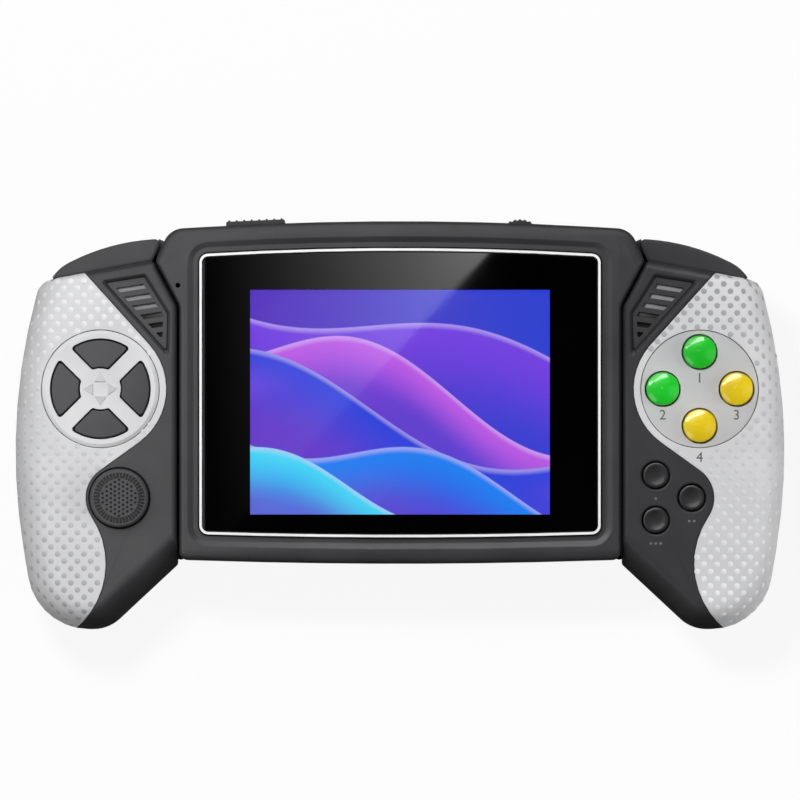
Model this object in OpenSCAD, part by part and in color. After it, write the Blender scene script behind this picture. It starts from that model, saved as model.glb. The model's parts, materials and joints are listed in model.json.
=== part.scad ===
// Handheld game console with a wide centre body and two moulded grips.
// It lies on its back: +X to the right, +Y to the top edge, +Z out of the screen.

/* [Overall] */
// Height of the screen side of the centre above the table
centre_front_z = 36; // [36:0.5:38]
// Height of the back of the centre above the table
centre_back_z = 13; // [11:0.5:13]
// Height of the front of the grips above the table
grip_front_z = 34.5; // [34.5:0.5:37]
// Height of the parting line between front and rear shells
parting_z = 21; // [20:0.25:21]
// Moulded wall of the shells
wall = 2; // [1.6:0.1:2.2]

/* [Centre body] */
// Width of the frame between the trim ring and the seam
frame_w = 4.55; // [4.5:0.05:8]
// Middle of the top edge
centre_top_y = 47.4; // [46:0.2:50]
// Middle of the bottom edge
centre_bottom_y = -32.7; // [-36:0.1:-32]
// Radius of the bowed top edge
top_bow_r = 780; // [500:10:1200]
// Radius of the bowed bottom edge
bottom_bow_r = 1445; // [900:5:2000]
// How far each upper corner flares out past the seam
flare = 5.6; // [4:0.1:7]
// Lower end of the flare
flare_low_y = 27.6; // [24:0.2:29]
// Widest point of the flare
flare_high_y = 38.2; // [37:0.1:39]
// Rounding of the upper corners in plan
centre_corner_r = 5; // [3:0.5:6]

/* [Grips] */
// Lowest point of the grips
grip_bottom_y = -48.2; // [-54:0.2:-47]
// Height of the grip's top edge beside the flare
grip_top_y = 38.4; // [37.8:0.1:38.8]
// Slope of the grip's top edge
grip_top_deg = 10.4; // [8:0.2:12]
// Slope of the arch between grip and centre
arch_deg = 43; // [38:0.5:48]
// Radius of the bulging outer side
side_r = 140; // [116:2:170]
// Height of the widest point of the outer side
side_mid_y = -6.5; // [-9:0.5:-4]
// Reach of the bulge above its widest point
side_up = 36.05; // [34:0.05:38]
// Reach of the bulge below its widest point
side_down = 23; // [20:0.1:26]
// Width of the grip outside the round plate's rim
side_margin = 4.8; // [4:0.05:6]
// Rounding of the outer front edge, across the face
side_round = 7; // [5:0.25:8]
// Rounding of the lower front edges, across the face
arch_round = 6.5; // [4:0.25:7.5]
// Rounding at the seam with the centre
seam_round = 1.4; // [0.8:0.1:1.6]
// Foot length as a share of the grip length
foot_long = 0.62; // [0.5:0.02:0.7]
// Foot width as a share of the grip width
foot_wide = 0.3; // [0.25:0.01:0.4]

/* [Grip panels] */
// Thickness of the textured panels
panel_t = 1.4; // [1:0.1:1.6]
// Rim of panel left around the round plates
panel_rim = 1.7; // [1.2:0.1:2]
// Radius of the bay that the panel leaves around the stick
stick_bay_r = 7.9; // [7.4:0.1:8.2]
// Centre of the panel's lower bulge, from the seam
panel_bulge_x = 36.5; // [35:0.5:39]
// Height of the panel's lower bulge
panel_bulge_y = -32.7; // [-35:0.5:-31]
// Direction of the panel's upper edge
panel_edge_deg = 48; // [45:0.5:52]

/* [Screen] */
// Width of the visible picture
picture_w = 70.08; // [66:0.02:76]
// Height of the visible picture
picture_h = 52.56; // [50:0.02:54]
// Height of the picture's middle
picture_y = 5.1; // [4:0.1:6]
// Width of the lens and trim beside the picture
lens_border = 11.96; // [11:0.02:14]
// Top middle of the trim ring
trim_top_y = 41.2; // [40.5:0.1:41.6]
// Bottom middle of the trim ring
trim_bottom_y = -26.6; // [-27:0.1:-26]
// Width of the trim ring's line
trim_line = 0.8; // [0.6:0.05:1.2]
// Thickness of the clear lens
lens_t = 1.5; // [1.2:0.1:2]
// Depth of the stepped recess round the lens
recess_depth = 0.8; // [0.5:0.1:1]
// Width of the stepped recess
recess_w = 2.6; // [2.2:0.1:2.8]
// Width of the sloped wall of the recess
recess_slope = 1.2; // [0.8:0.1:1.4]

/* [Round plates] */
// Centre of both plates, from the seam
plate_x = 18; // [17.6:0.1:19]
// Height of both plates' centre
plate_y = 8.2; // [7.5:0.1:9]
// Radius of the plates
plate_r = 13.7; // [13.5:0.1:14]

/* [Direction keys] */
// Inner radius of the key windows
key_inner_r = 4.8; // [4.4:0.1:5.2]
// Outer radius of the key windows
key_outer_r = 11.8; // [11.4:0.1:12]
// Width of the cross arms between the keys
key_arm = 3.6; // [3.2:0.1:4]
// Rounding of the key corners
key_corner_r = 0.7; // [0.4:0.1:1]
// Travel of a direction key
key_travel = 0.9; // [0.6:0.1:1]

/* [Round buttons] */
// Diameter of a face button
face_d = 7.7; // [7:0.1:8]
// Distance of the face buttons from the plate's centre
face_offset = 8.63; // [8.2:0.01:8.8]
// Travel of a face button
face_travel = 1.2; // [0.8:0.1:1.3]
// Diameter of a menu button
menu_d = 5.8; // [5.2:0.1:6.2]
// Travel of a menu button
menu_travel = 0.7; // [0.5:0.1:0.9]

/* [Stick] */
// Stick centre, from the seam
stick_x = 13.55; // [13.2:0.05:14]
// Height of the stick's centre
stick_y = -17.3; // [-18:0.1:-17]
// Diameter of the stick cap
stick_d = 13.7; // [13:0.1:14.2]
// Travel of the stick each way
stick_travel = 1.6; // [1:0.1:1.8]

/* [Top controls] */
// Distance of the power switch from the seam
switch_in = 17.75; // [17:0.05:20]
// Length of the power switch knob
switch_l = 13.8; // [12:0.2:15]
// How far the knob stands out of the top edge
switch_rise = 1.25; // [1:0.05:1.6]
// Travel of the power switch
switch_travel = 3; // [2:0.1:3.2]
// Distance of the volume wheel from the seam
wheel_in = 23.45; // [22:0.05:26]
// Diameter of the volume wheel
wheel_d = 11.8; // [11:0.1:12.4]
// How far the wheel stands out of the top edge
wheel_rise = 1.05; // [0.8:0.05:1.3]

/* [Shoulder buttons] */
// Highest point of the shoulder buttons
shoulder_top_y = 43.2; // [42.6:0.1:43.8]
// Radius of the shoulder buttons' crown
shoulder_r = 49; // [42:0.5:60]
// Travel of a shoulder button
shoulder_travel = 0.7; // [0.5:0.1:0.8]

/* [Grilles] */
// Spacing of the grille slots
slot_pitch = 2.36; // [2.1:0.02:2.6]
// Width of a grille slot
slot_w = 1.15; // [0.8:0.05:1.4]
// Depth from the grip front to the grille
grille_sink = 1; // [0.6:0.1:1.2]

/* [Battery] */
// Length of the battery, along X
battery_l = 53.5; // [50:0.5:55]
// Width of the battery, along Y
battery_w = 34; // [32:0.5:35]
// Thickness of the battery
battery_t = 5.6; // [5:0.1:5.6]
// How far the battery door slides off
door_travel = 48; // [40:1:60]

/* [Fits] */
// Groove between the centre and each grip
body_gap = 0.5; // [0.3:0.05:0.7]
// Gap at the seams between shells and panels
seam_gap = 0.15; // [0.1:0.05:0.25]
// Gap between a fixed piece and its seat
seat_gap = 0.1; // [0.05:0.05:0.2]
// Gap round keys and buttons
key_gap = 0.35; // [0.25:0.05:0.45]
// Running gap round a turning shaft
shaft_gap = 0.05; // [0.03:0.01:0.08]

/* [Hidden] */
$fn = 48;

// Colours
shell_grey = "#4a4a4c";
key_grey = "#48484b";
panel_silver = "#d4d4d6";
trim_white = "#f4f4f4";
lens_black = "#101012";
board_green = "#2f6b3c";
metal_grey = "#b8bac0";
rubber_pale = "#c9c6bd";
button_green = "#17b52b";
button_yellow = "#e2c800";
ribbon_amber = "#b5782c";

// Smallest corner left by an inset, steps of each rounded corner, and cutting overlap
least_r = 0.3;
corner_steps = 7;
over = 1;

// Plane geometry
function unit(v) = v / norm(v);
function heading(deg) = [cos(deg), sin(deg)];
function flat(c) = [c.x, c.y];
function at(list, i) = list[(i + len(list)) % len(list)];
function arc(c, r, from, to, n) = [for (i = [0:n]) c + r * heading(from + (to - from) * i / n)];
function mirrored(p) = [-p.x, p.y];

// Where the line through p at angle pa meets the line through q at angle qa
function meet(p, pa, q, qa) =
  let (d = heading(pa), e = heading(qa))
  p + d * cross(q - p, e) / cross(d, e);

// Corner b moved so that its two edges shift to their left by da and dc
function moved_corner(a, b, c, da, dc) =
  let (u = unit(b - a), v = unit(c - b), na = [-u.y, u.x], nc = [-v.y, v.x])
  let (ka = na * b + da, kc = nc * b + dc)
  [ka * nc.y - kc * na.y, na.x * kc - nc.x * ka] / cross(na, nc);

// Corners are [x, y, radius], counter-clockwise; d holds one inset for each edge
function inset(corners, d) = [
  for (i = [0:len(corners) - 1])
    let (a = flat(at(corners, i - 1)), b = flat(corners[i]), c = flat(at(corners, i + 1)))
    let (p = moved_corner(a, b, c, at(d, i - 1), d[i]), mean = (at(d, i - 1) + d[i]) / 2)
    let (r = corners[i][2] + (cross(b - a, c - b) > 0 ? -mean : mean))
    [p.x, p.y, max(least_r, r)]
];
function even(corners, d) = [for (c = corners) d];

// Points of the arc that rounds corner b
function corner_arc(a, b, c, r, n) =
  let (u = unit(a - b), v = unit(c - b), half = acos(u * v) / 2)
  let (middle = b + unit(u + v) * r / sin(half), start = b + u * r / tan(half))
  let (from = atan2(start.y - middle.y, start.x - middle.x))
  arc(middle, r, from, from + (cross(u, v) < 0 ? 1 : -1) * (180 - 2 * half), n);
function rounded(corners, n = corner_steps) = [
  for (i = [0:len(corners) - 1])
    each corner_arc(flat(at(corners, i - 1)), flat(corners[i]), flat(at(corners, i + 1)), corners[i][2], n)
];
function raised(points, z) = [for (p = points) [p.x, p.y, z]];
function middle(points) = [for (k = [0:2]) let (v = [for (p = points) p[k]]) (min(v) + max(v)) / 2];

// How far a rounded edge has drawn in at a depth below its face
function drawn_in(across, down, depth) =
  let (u = max(0, 1 - depth / down))
  across * (1 - sqrt(1 - u * u));

// Solid through a stack of rings with equal numbers of points
module loft(rings) {
  n = len(rings[0]);
  m = len(rings);
  sides = [
    for (j = [0:m - 2], i = [0:n - 1])
      let (a = j * n + i, b = j * n + (i + 1) % n)
      each [[a, a + n, b + n], [a, b + n, b]]
  ];
  low = [for (i = [0:n - 1]) [m * n, i, (i + 1) % n]];
  high = [for (i = [0:n - 1]) [m * n + 1, (m - 1) * n + (i + 1) % n, (m - 1) * n + i]];
  ends = [middle(rings[0]), middle(rings[m - 1])];
  polyhedron(points = concat([for (r = rings) each r], ends), faces = concat(sides, low, high));
}
module slab(z0, z1) {
  translate([0, 0, z0]) linear_extrude(z1 - z0) children();
}
module rod(x, y, z0, z1, r) {
  translate([x, y, z0]) cylinder(h = z1 - z0, r = r);
}
module block(from, to) {
  translate(from) cube(to - from);
}
module left() {
  mirror([1, 0, 0]) children();
}

// Height of a bowed edge above its chord ends, and the corner that the bow is rounded from
function bow_drop(r, x) = r - sqrt(r * r - x * x);
function bow_corner(crown, r, reach) = crown - bow_drop(r, reach) + reach * tan(asin(reach / r));
function bow_end(crown, r, reach, x) = crown - bow_drop(r, reach) - (x - reach) * tan(asin(reach / r));

// Centre outline
trim_x = picture_w / 2 + lens_border;
seam_x = trim_x + frame_w;
bow_reach = seam_x - 7;
top_corner_x = seam_x + flare - 3.3;
top_end_y = bow_end(centre_top_y, top_bow_r, bow_reach, top_corner_x);
bottom_end_y = -bow_end(-centre_bottom_y, bottom_bow_r, bow_reach, seam_x);
right_corners = [
  [seam_x, bottom_end_y, 2], [seam_x, flare_low_y, 4],
  [seam_x + flare, flare_high_y, 1.5], [top_corner_x, top_end_y, centre_corner_r]
];
centre_corners = concat(
  [[0, -bow_corner(-centre_bottom_y, bottom_bow_r, bow_reach), bottom_bow_r]],
  right_corners,
  [[0, bow_corner(centre_top_y, top_bow_r, bow_reach), top_bow_r]],
  [for (i = [3:-1:0]) [-right_corners[i].x, right_corners[i].y, right_corners[i][2]]]
);
end_rim = 2.5;
centre_across = [for (i = [0:9]) i == 1 || i == 2 || i == 7 || i == 8 ? 1.2 : end_rim];
centre_down = [for (i = [0:9]) i == 1 || i == 2 || i == 7 || i == 8 ? 1.6 : end_rim];
function top_edge_y(x) = centre_top_y - bow_drop(top_bow_r, x);
function bottom_edge_y(x) = centre_bottom_y + bow_drop(bottom_bow_r, x);

// Grip outline, for the right-hand side
grip_x = seam_x + body_gap;
flare_deg = atan2(flare_high_y - flare_low_y, flare);
flare_shift = body_gap / sin(flare_deg);
grip_top_point = [seam_x + flare, grip_top_y];
flare_point = [seam_x + flare + flare_shift, flare_high_y];
plate_c = [grip_x + plate_x, plate_y];
panel_plate_r = plate_r + panel_rim;
side_x = plate_c.x + panel_plate_r + side_margin;
side_upper_deg = asin(side_up / side_r);
side_lower_deg = asin(side_down / side_r);
side_centre = [side_x - side_r, side_mid_y];
side_corner = side_centre
  + heading((side_upper_deg - side_lower_deg) / 2) * side_r / cos((side_upper_deg + side_lower_deg) / 2);
arch_point = [grip_x, bottom_end_y - 1.2];
tip_left = meet(arch_point, -arch_deg, [0, grip_bottom_y], 0);
tip_right = meet(side_corner, 90 - side_lower_deg, [0, grip_bottom_y], 0);
shoulder_corner = meet(side_corner, 90 + side_upper_deg, grip_top_point, -grip_top_deg);
inner_corner = meet(flare_point, flare_deg, grip_top_point, -grip_top_deg);
inner_bend = meet(flare_point, flare_deg, arch_point, 90);
grip_corners = [
  [arch_point.x, arch_point.y, 1], [tip_left.x, tip_left.y, 9], [tip_right.x, tip_right.y, 14.5],
  [side_corner.x, side_corner.y, side_r], [shoulder_corner.x, shoulder_corner.y, 4.5],
  [inner_corner.x, inner_corner.y, 1.5], [inner_bend.x, inner_bend.y, 4]
];
grip_deep = grip_front_z - parting_z;
top_round = 2;
grip_across = [arch_round, arch_round, side_round, side_round, top_round, seam_round, seam_round];
grip_down = [grip_deep, grip_deep, grip_deep, grip_deep, 3, 1.6, 1.6];
grip_levels = [1, 0.74, 0.52, 0.34, 0.21, 0.12, 0.055, 0.02, 0];
function grip_insets(depth, extra) =
  [for (i = [0:6]) extra + drawn_in(grip_across[i], grip_down[i], depth)];

// Stick and menu buttons, for the right-hand side
stick_c = [grip_x + stick_x, stick_y];
menu_column_x = grip_x + 7.75;
menu_side_x = grip_x + 16.15;
menu_mid_y = -17.25;
menu_spread = 5.25;
menu_places = [
  [menu_column_x, menu_mid_y + menu_spread],
  [menu_side_x, menu_mid_y],
  [menu_column_x, menu_mid_y - menu_spread]
];

// Levels in the grips, from the front down
panel_floor_z = grip_front_z - panel_t;
grip_wall = 1.8;
grip_ceiling_z = panel_floor_z - grip_wall;
flange_t = 1;
flange_top_z = grip_ceiling_z - seat_gap;
pad_gap = 0.1;
pad_top_z = flange_top_z - flange_t - pad_gap;
pad_base_t = 1;
pad_rise = 2;
board_t = 1.6;
key_board_top_z = pad_top_z - pad_rise - pad_base_t;
key_board_z = key_board_top_z - board_t;
cavity_insets = [
  for (i = [0:6])
    i == 4 ? 3.6 : wall + drawn_in(grip_across[i], grip_down[i], grip_front_z - grip_ceiling_z)
      + (i < 4 ? panel_t : 0)
];

// Levels in the centre
recess_z = centre_front_z - recess_depth;
trim_proud = 0.35;
lens_top_z = recess_z + 0.15;
lens_floor_z = lens_top_z - lens_t - seat_gap;
ledge_t = 1.5;
centre_ceiling_z = lens_floor_z - ledge_t;
lcd_t = 3.2;
lcd_top_z = centre_ceiling_z - seat_gap;
lcd_z = lcd_top_z - lcd_t;
main_board_z = parting_z + 1.2;
main_board_top_z = main_board_z + board_t;

// Fasteners
post_r = 3;
well_r = 2.9;
screw_head_r = 2.5;
screw_head_h = 1.5;
screw_r = 1.2;
screw_hole_r = 1.5;
boss_r = well_r + 1.4;
screw_inset_x = 7.4;
centre_screws = [for (x = [-1, 1], y = [38, -25.6]) [x * (seam_x - screw_inset_x), y]];
grip_screws = [[grip_x + 27.2, 26], [grip_x + 5.6, -29.8], [grip_x + 26, -34]];
centre_well_z = centre_back_z + 3.5;
grip_well_z = parting_z - 8;
stud_r = 1.8;
small_screw_r = 0.8;
small_head_r = 1.6;
small_head_h = 0.9;
key_board_studs = [
  [grip_x + 4.55, 17.5], [grip_x + 27.4, 19.5], [grip_x + 4.15, -6], [grip_x + 27, -20]
];

// Tongues that lock the grips into the centre
tongue_places = [18, -18];
tongue_w = 6;
tongue_head_w = 10;
tongue_h = 3;
tongue_head_t = 1.5;
ribbon_w = 8;
ribbon_y = 3;
ribbon_t = 0.3;

// Shoulder button frame: u runs along the grip's top edge, v into the grip
shoulder_at = meet(grip_top_point, -grip_top_deg, [grip_x + 19.4, 0], 90);
shoulder_end_gap = 0.75;
shoulder_lap = 0.2;
shoulder_z0 = parting_z + 0.4;
shoulder_z1 = grip_ceiling_z - 0.4;
stalk_w = 6;
stalk_ear = 1.8;
stalk_ear_t = 1.5;
stalk_wall_v = cavity_insets[4];
stalk_z0 = shoulder_z0 + 1;
stalk_z1 = shoulder_z1 - 1;
centre_side_deg = atan2(top_end_y - flare_high_y, top_corner_x - seam_x - flare);
shoulder_edge_point = shoulder_at - shoulder_lap * heading(90 - grip_top_deg);
shoulder_end_point = [seam_x + flare, flare_high_y] + shoulder_end_gap * heading(centre_side_deg - 90);
crown_start = [grip_x + 6.15, shoulder_top_y];
crown_end = [grip_x + 24.75, shoulder_top_y - 5.1];
tip_start = [grip_x + 28.4, shoulder_top_y - 7.65];
crown_chord = crown_end - crown_start;
crown_half_deg = asin(norm(crown_chord) / 2 / shoulder_r);
crown_start_deg = atan2(crown_chord.y, crown_chord.x) + crown_half_deg;
crown_end_deg = atan2(crown_chord.y, crown_chord.x) - crown_half_deg;
tip_deg = -54;
tip_room = 1.2;
function shoulder_corners() =
  let (low = meet(shoulder_end_point, centre_side_deg, shoulder_edge_point, -grip_top_deg))
  let (tip = meet(tip_start, tip_deg, shoulder_edge_point, -grip_top_deg))
  let (bend = meet(crown_end, crown_end_deg, tip_start, tip_deg))
  let (crown = meet(crown_start, crown_start_deg, crown_end, crown_end_deg))
  let (high = meet(shoulder_end_point, centre_side_deg, crown_start, crown_start_deg))
  let (bend_reach = 0.97 * min(norm(bend - crown_end), norm(bend - tip) - tip_room))
  let (bend_r = bend_reach / tan((crown_end_deg - tip_deg) / 2))
  [
    [low.x, low.y, 0.5], [tip.x, tip.y, 0.4], [bend.x, bend.y, bend_r],
    [crown.x, crown.y, shoulder_r], [high.x, high.y, 1.1]
  ];

// Ear on the rear shell that closes the gap below a shoulder button's inner end
stop_w = 1.6;
stop_h = 3;
module shoulder_stop() {
  up = heading(centre_side_deg);
  out = heading(centre_side_deg - 90);
  from = [seam_x + flare, flare_high_y];
  slab(parting_z - stop_h, parting_z)
    polygon([
      from + 0.8 * up - out, from + 0.8 * up + stop_w * out,
      from + 5 * up + stop_w * out, from + 5 * up - out
    ]);
}
module on_shoulder() {
  translate([shoulder_at.x, shoulder_at.y, 0]) rotate(-grip_top_deg) children();
}

// Outlines shared by several pieces
trim_corner_r = 2.2;
trim_reach = trim_x - trim_corner_r - 0.3;
trim_low_y = -bow_end(-trim_bottom_y, bottom_bow_r, trim_reach, trim_x);
trim_high_y = bow_end(trim_top_y, top_bow_r, trim_reach, trim_x);
trim_corners = [
  [0, -bow_corner(-trim_bottom_y, bottom_bow_r, trim_reach), bottom_bow_r],
  [trim_x, trim_low_y, trim_corner_r], [trim_x, trim_high_y, trim_corner_r],
  [0, bow_corner(trim_top_y, top_bow_r, trim_reach), top_bow_r],
  [-trim_x, trim_high_y, trim_corner_r], [-trim_x, trim_low_y, trim_corner_r]
];
function trim_outline(d) = rounded(inset(trim_corners, even(trim_corners, d)));

// Inner edge of the grip panel: round the plate, into the stick bay and out over the lower bulge
bulge_c = [grip_x + panel_bulge_x, panel_bulge_y];
bay_deg = atan2(bulge_c.y - stick_c.y, bulge_c.x - stick_c.x);
bulge_r = norm(bulge_c - stick_c) - stick_bay_r;
to_stick = stick_c - plate_c;
to_stick_deg = atan2(to_stick.y, to_stick.x) + 360;
s_deg = to_stick_deg - acos((panel_plate_r + stick_bay_r) / norm(to_stick));
panel_top_reach = 40;
panel_steps = 12;
function panel_edge(gap) = concat(
  [
    plate_c + (panel_plate_r - gap) * heading(panel_edge_deg + 90)
      + panel_top_reach * heading(panel_edge_deg)
  ],
  arc(plate_c, panel_plate_r - gap, panel_edge_deg + 90, s_deg, panel_steps),
  arc(stick_c, stick_bay_r + gap, s_deg - 180, bay_deg, panel_steps),
  arc(bulge_c, bulge_r - gap, bay_deg + 180, 250, panel_steps)
);
module panel_region(gap) {
  far = [side_x + 10, grip_bottom_y - 10];
  slab(parting_z - over, grip_front_z + over)
    polygon(concat(panel_edge(gap), [far], [[far.x, panel_top_reach + 10]]));
}

// Grille pocket, for the right-hand side
grille_rim = 1.55;
grille_corners = [
  [grip_x + 1.85, 15.1, 0.6], [grip_x + 18.25, 33.5, 0.6],
  [grip_x + 7.35, 35.2, 0.8], [grip_x + grille_rim, 25.95, 1.5]
];
grille_slope = 0.7;
grille_ledge = 1.3;
grille_t = 1;
grille_deg = atan2(grille_corners[2].y - grille_corners[1].y, grille_corners[2].x - grille_corners[1].x) + 180;
grille_top_z = grip_front_z - grille_sink;
function grille_points(d) = rounded(inset(grille_corners, even(grille_corners, d)), 4);
module grille_outline(d) {
  polygon(grille_points(d));
}
module grille_pocket() {
  loft([
    raised(grille_points(grille_slope), grille_top_z),
    raised(grille_points(-grille_slope / 5), grip_front_z + grille_sink / 5)
  ]);
  slab(grille_top_z - grille_t, grille_top_z + over) grille_outline(grille_slope);
  slab(grip_ceiling_z - over, grip_front_z) grille_outline(grille_ledge);
}

// Grip solids
module grip_solid(extra) {
  deep = grip_deep - extra;
  loft([
    for (k = grip_levels)
      raised(rounded(inset(grip_corners, grip_insets(k * grip_deep, extra))), parting_z + (1 - k) * deep)
  ]);
}
module grip_cavity() {
  slab(parting_z - over, grip_ceiling_z)
    polygon(rounded(inset(grip_corners, cavity_insets)));
}
foot_c = [grip_x + 19, -4];
function foot_point(p, wide, long) = foot_c + [(p.x - foot_c.x) * wide, (p.y - foot_c.y) * long];
function lobe_ring(points, wide, long, turn, z) =
  [for (p = points) let (q = p + (foot_point(p, wide, long) - p) * (1 - cos(turn))) [q.x, q.y, z]];
module lobe(d, wide, long, z0, turns) {
  points = rounded(inset(grip_corners, even(grip_corners, d)));
  loft(concat(
    [for (t = turns) lobe_ring(points, wide, long, t, parting_z - (parting_z - z0) * sin(t))],
    d > 0 ? [raised(points, parting_z + over)] : []
  ));
}
module shoulder_pocket() {
  hull() {
    for (v = [0, shoulder_travel + 0.3])
      translate(-v * concat(heading(90 - grip_top_deg), [0]))
        slab(parting_z - over, grip_ceiling_z - 0.1)
          offset(delta = 0.3) polygon(rounded(shoulder_corners(), 5));
  }
}
module stalk_slot() {
  on_shoulder() block(
    [-stalk_w / 2 - 0.3, -stalk_wall_v - over, stalk_z0 - 0.3],
    [stalk_w / 2 + 0.3, over, stalk_z1 + 0.3]
  );
}
module tongues() {
  for (y = tongue_places) {
    block([seam_x - wall - 2 * seam_gap, y - tongue_w / 2, parting_z + seat_gap],
          [grip_x + wall / 2, y + tongue_w / 2, parting_z + tongue_h]);
    block([seam_x - wall - seat_gap - tongue_head_t, y - tongue_head_w / 2, parting_z + seat_gap],
          [seam_x - wall - seat_gap, y + tongue_head_w / 2, parting_z + tongue_h]);
  }
}
module ribbon_slot() {
  block([seam_x - wall - over, ribbon_y - ribbon_w / 2 - 1, parting_z - over],
        [grip_x + wall + over, ribbon_y + ribbon_w / 2 + 1, key_board_z + 0.6]);
}
module grip_front() {
  difference() {
    union() {
      grip_solid(panel_t);
      difference() {
        grip_solid(0);
        panel_region(-seam_gap);
      }
      tongues();
    }
    difference() {
      grip_cavity();
      for (p = grip_screws) rod(p.x, p.y, parting_z + seat_gap, grip_front_z, post_r);
      for (p = key_board_studs) rod(p.x, p.y, key_board_top_z, grip_front_z, stud_r);
    }
    for (p = grip_screws) rod(p.x, p.y, parting_z - over, grip_ceiling_z - 0.8, screw_r + shaft_gap);
    for (p = key_board_studs)
      rod(p.x, p.y, key_board_top_z - over, grip_ceiling_z - 0.4, small_screw_r + shaft_gap);
    grille_pocket();
    shoulder_pocket();
    stalk_slot();
    ribbon_slot();
    children();
  }
}
module grip_rear() {
  turns = [90, 82, 73, 63, 52, 40, 24, 0];
  difference() {
    lobe(0, foot_wide, foot_long, 0, turns);
    difference() {
      lobe(wall, foot_wide - 0.06, foot_long - 0.04, wall, [90, 74, 56, 36, 0]);
      for (p = grip_screws) rod(p.x, p.y, 0, parting_z, boss_r);
    }
    for (p = grip_screws) rod(p.x, p.y, -over, grip_well_z, well_r);
    for (p = grip_screws) rod(p.x, p.y, 0, parting_z + over, screw_hole_r);
  }
}
module grip_panel() {
  color(panel_silver)
    difference() {
      intersection() {
        grip_solid(0);
        panel_region(0);
      }
      grip_solid(panel_t);
      rod(plate_c.x, plate_c.y, 0, grip_front_z + over, plate_r + seam_gap);
      shoulder_pocket();
    }
}

// Direction keys
dpad_c = mirrored(plate_c);
dpad_hub_r = key_outer_r + 0.5;
dpad_top_z = grip_front_z + 0.3;
dpad_ring_w = 0.8;
dpad_ring_h = 0.45;
dpad_crown_z = grip_front_z + 1.3;
dpad_crown_r = 60;
module key_fan(grow) {
  arm = key_arm / 2 - grow;
  reach = key_outer_r + grow;
  offset(r = key_corner_r) offset(delta = -key_corner_r)
    difference() {
      intersection() {
        circle(reach);
        translate([arm * sqrt(2), 0]) polygon([[0, 0], [reach, -reach], [reach, reach]]);
      }
      circle(key_inner_r - grow);
    }
}
module dpad_key(turn) {
  color(key_grey)
    translate([dpad_c.x, dpad_c.y, 0]) rotate(turn) {
      slab(flange_top_z - flange_t, flange_top_z) key_fan(0.6);
      intersection() {
        slab(flange_top_z, dpad_crown_z + over) key_fan(-key_gap);
        translate([0, 0, dpad_crown_z - dpad_crown_r]) sphere(dpad_crown_r, $fn = 96);
      }
    }
}
module dpad_plate() {
  color(panel_silver)
    translate([dpad_c.x, dpad_c.y, 0])
      difference() {
        union() {
          rod(0, 0, panel_floor_z, dpad_top_z - dpad_ring_h, plate_r);
          translate([0, 0, dpad_top_z - dpad_ring_h])
            cylinder(h = dpad_ring_h, r1 = plate_r, r2 = plate_r - dpad_ring_w);
          rod(0, 0, grip_ceiling_z, dpad_top_z, dpad_hub_r);
        }
        for (turn = [0:90:270]) rotate(turn) slab(grip_ceiling_z - over, dpad_top_z + over) key_fan(0);
      }
}
module dome_pad(x, y, r) {
  rod(x, y, pad_top_z - pad_rise - 0.1, pad_top_z, r);
}
module pad_sheet() {
  slab(key_board_top_z, pad_top_z - pad_rise) children();
}
module dpad_rubber() {
  dome_at = (key_inner_r + key_outer_r) / 2;
  color(rubber_pale) {
    pad_sheet() translate(dpad_c) circle(key_outer_r);
    for (turn = [0:90:270]) let (p = dpad_c + dome_at * heading(turn)) dome_pad(p.x, p.y, 2.2);
  }
}

// Round buttons: a domed cap on a flange that is held under the shell
button_plate_t = panel_t - 0.4;
button_lip = 0.8;
button_hole_r = face_d / 2 + key_gap;
menu_hole_r = menu_d / 2 + key_gap;
module round_button(d, top_z, dome) {
  crown_r = (d * d / 4 + dome * dome) / (2 * dome);
  rod(0, 0, flange_top_z - flange_t, flange_top_z, d / 2 + button_lip);
  intersection() {
    rod(0, 0, flange_top_z - flange_t, top_z, d / 2);
    translate([0, 0, top_z - crown_r]) sphere(crown_r, $fn = 96);
  }
}
module face_button(turn, tint) {
  p = plate_c + face_offset * heading(turn);
  color(tint) translate([p.x, p.y, 0]) round_button(face_d, grip_front_z + 2, 1.1);
}
module button_plate() {
  color(panel_silver)
    difference() {
      rod(plate_c.x, plate_c.y, panel_floor_z, panel_floor_z + button_plate_t, plate_r);
      face_holes(0);
    }
}
module face_holes(grow) {
  for (turn = [0:90:270])
    let (p = plate_c + face_offset * heading(turn))
    rod(p.x, p.y, grip_ceiling_z - over, grip_front_z + over, button_hole_r + grow);
}
module face_relief() {
  for (turn = [0:90:270])
    let (p = plate_c + face_offset * heading(turn))
    rod(p.x, p.y, flange_top_z - flange_t - face_travel - 0.3, grip_ceiling_z, face_d / 2 + button_lip + 0.3);
}
module menu_holes() {
  for (p = menu_places) {
    rod(p.x, p.y, grip_ceiling_z - over, grip_front_z + over, menu_hole_r);
    translate([p.x, p.y, grip_front_z - 0.3]) cylinder(h = 0.6, r1 = menu_hole_r, r2 = menu_hole_r + 0.6);
  }
}
module face_rubber() {
  color(rubber_pale) {
    pad_sheet() translate(plate_c) circle(face_offset + face_d / 2);
    for (turn = [0:90:270]) let (p = plate_c + face_offset * heading(turn)) dome_pad(p.x, p.y, 2.4);
  }
}
module menu_button(i) {
  p = menu_places[i];
  color(key_grey) translate([p.x, p.y, 0]) round_button(menu_d, grip_front_z + 0.9, 0.9);
}
module menu_rubber() {
  color(rubber_pale) {
    pad_sheet() hull() for (p = menu_places) translate(p) circle(menu_d / 2 + 0.9, $fn = 32);
    for (p = menu_places) dome_pad(p.x, p.y, 1.8);
  }
}

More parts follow.
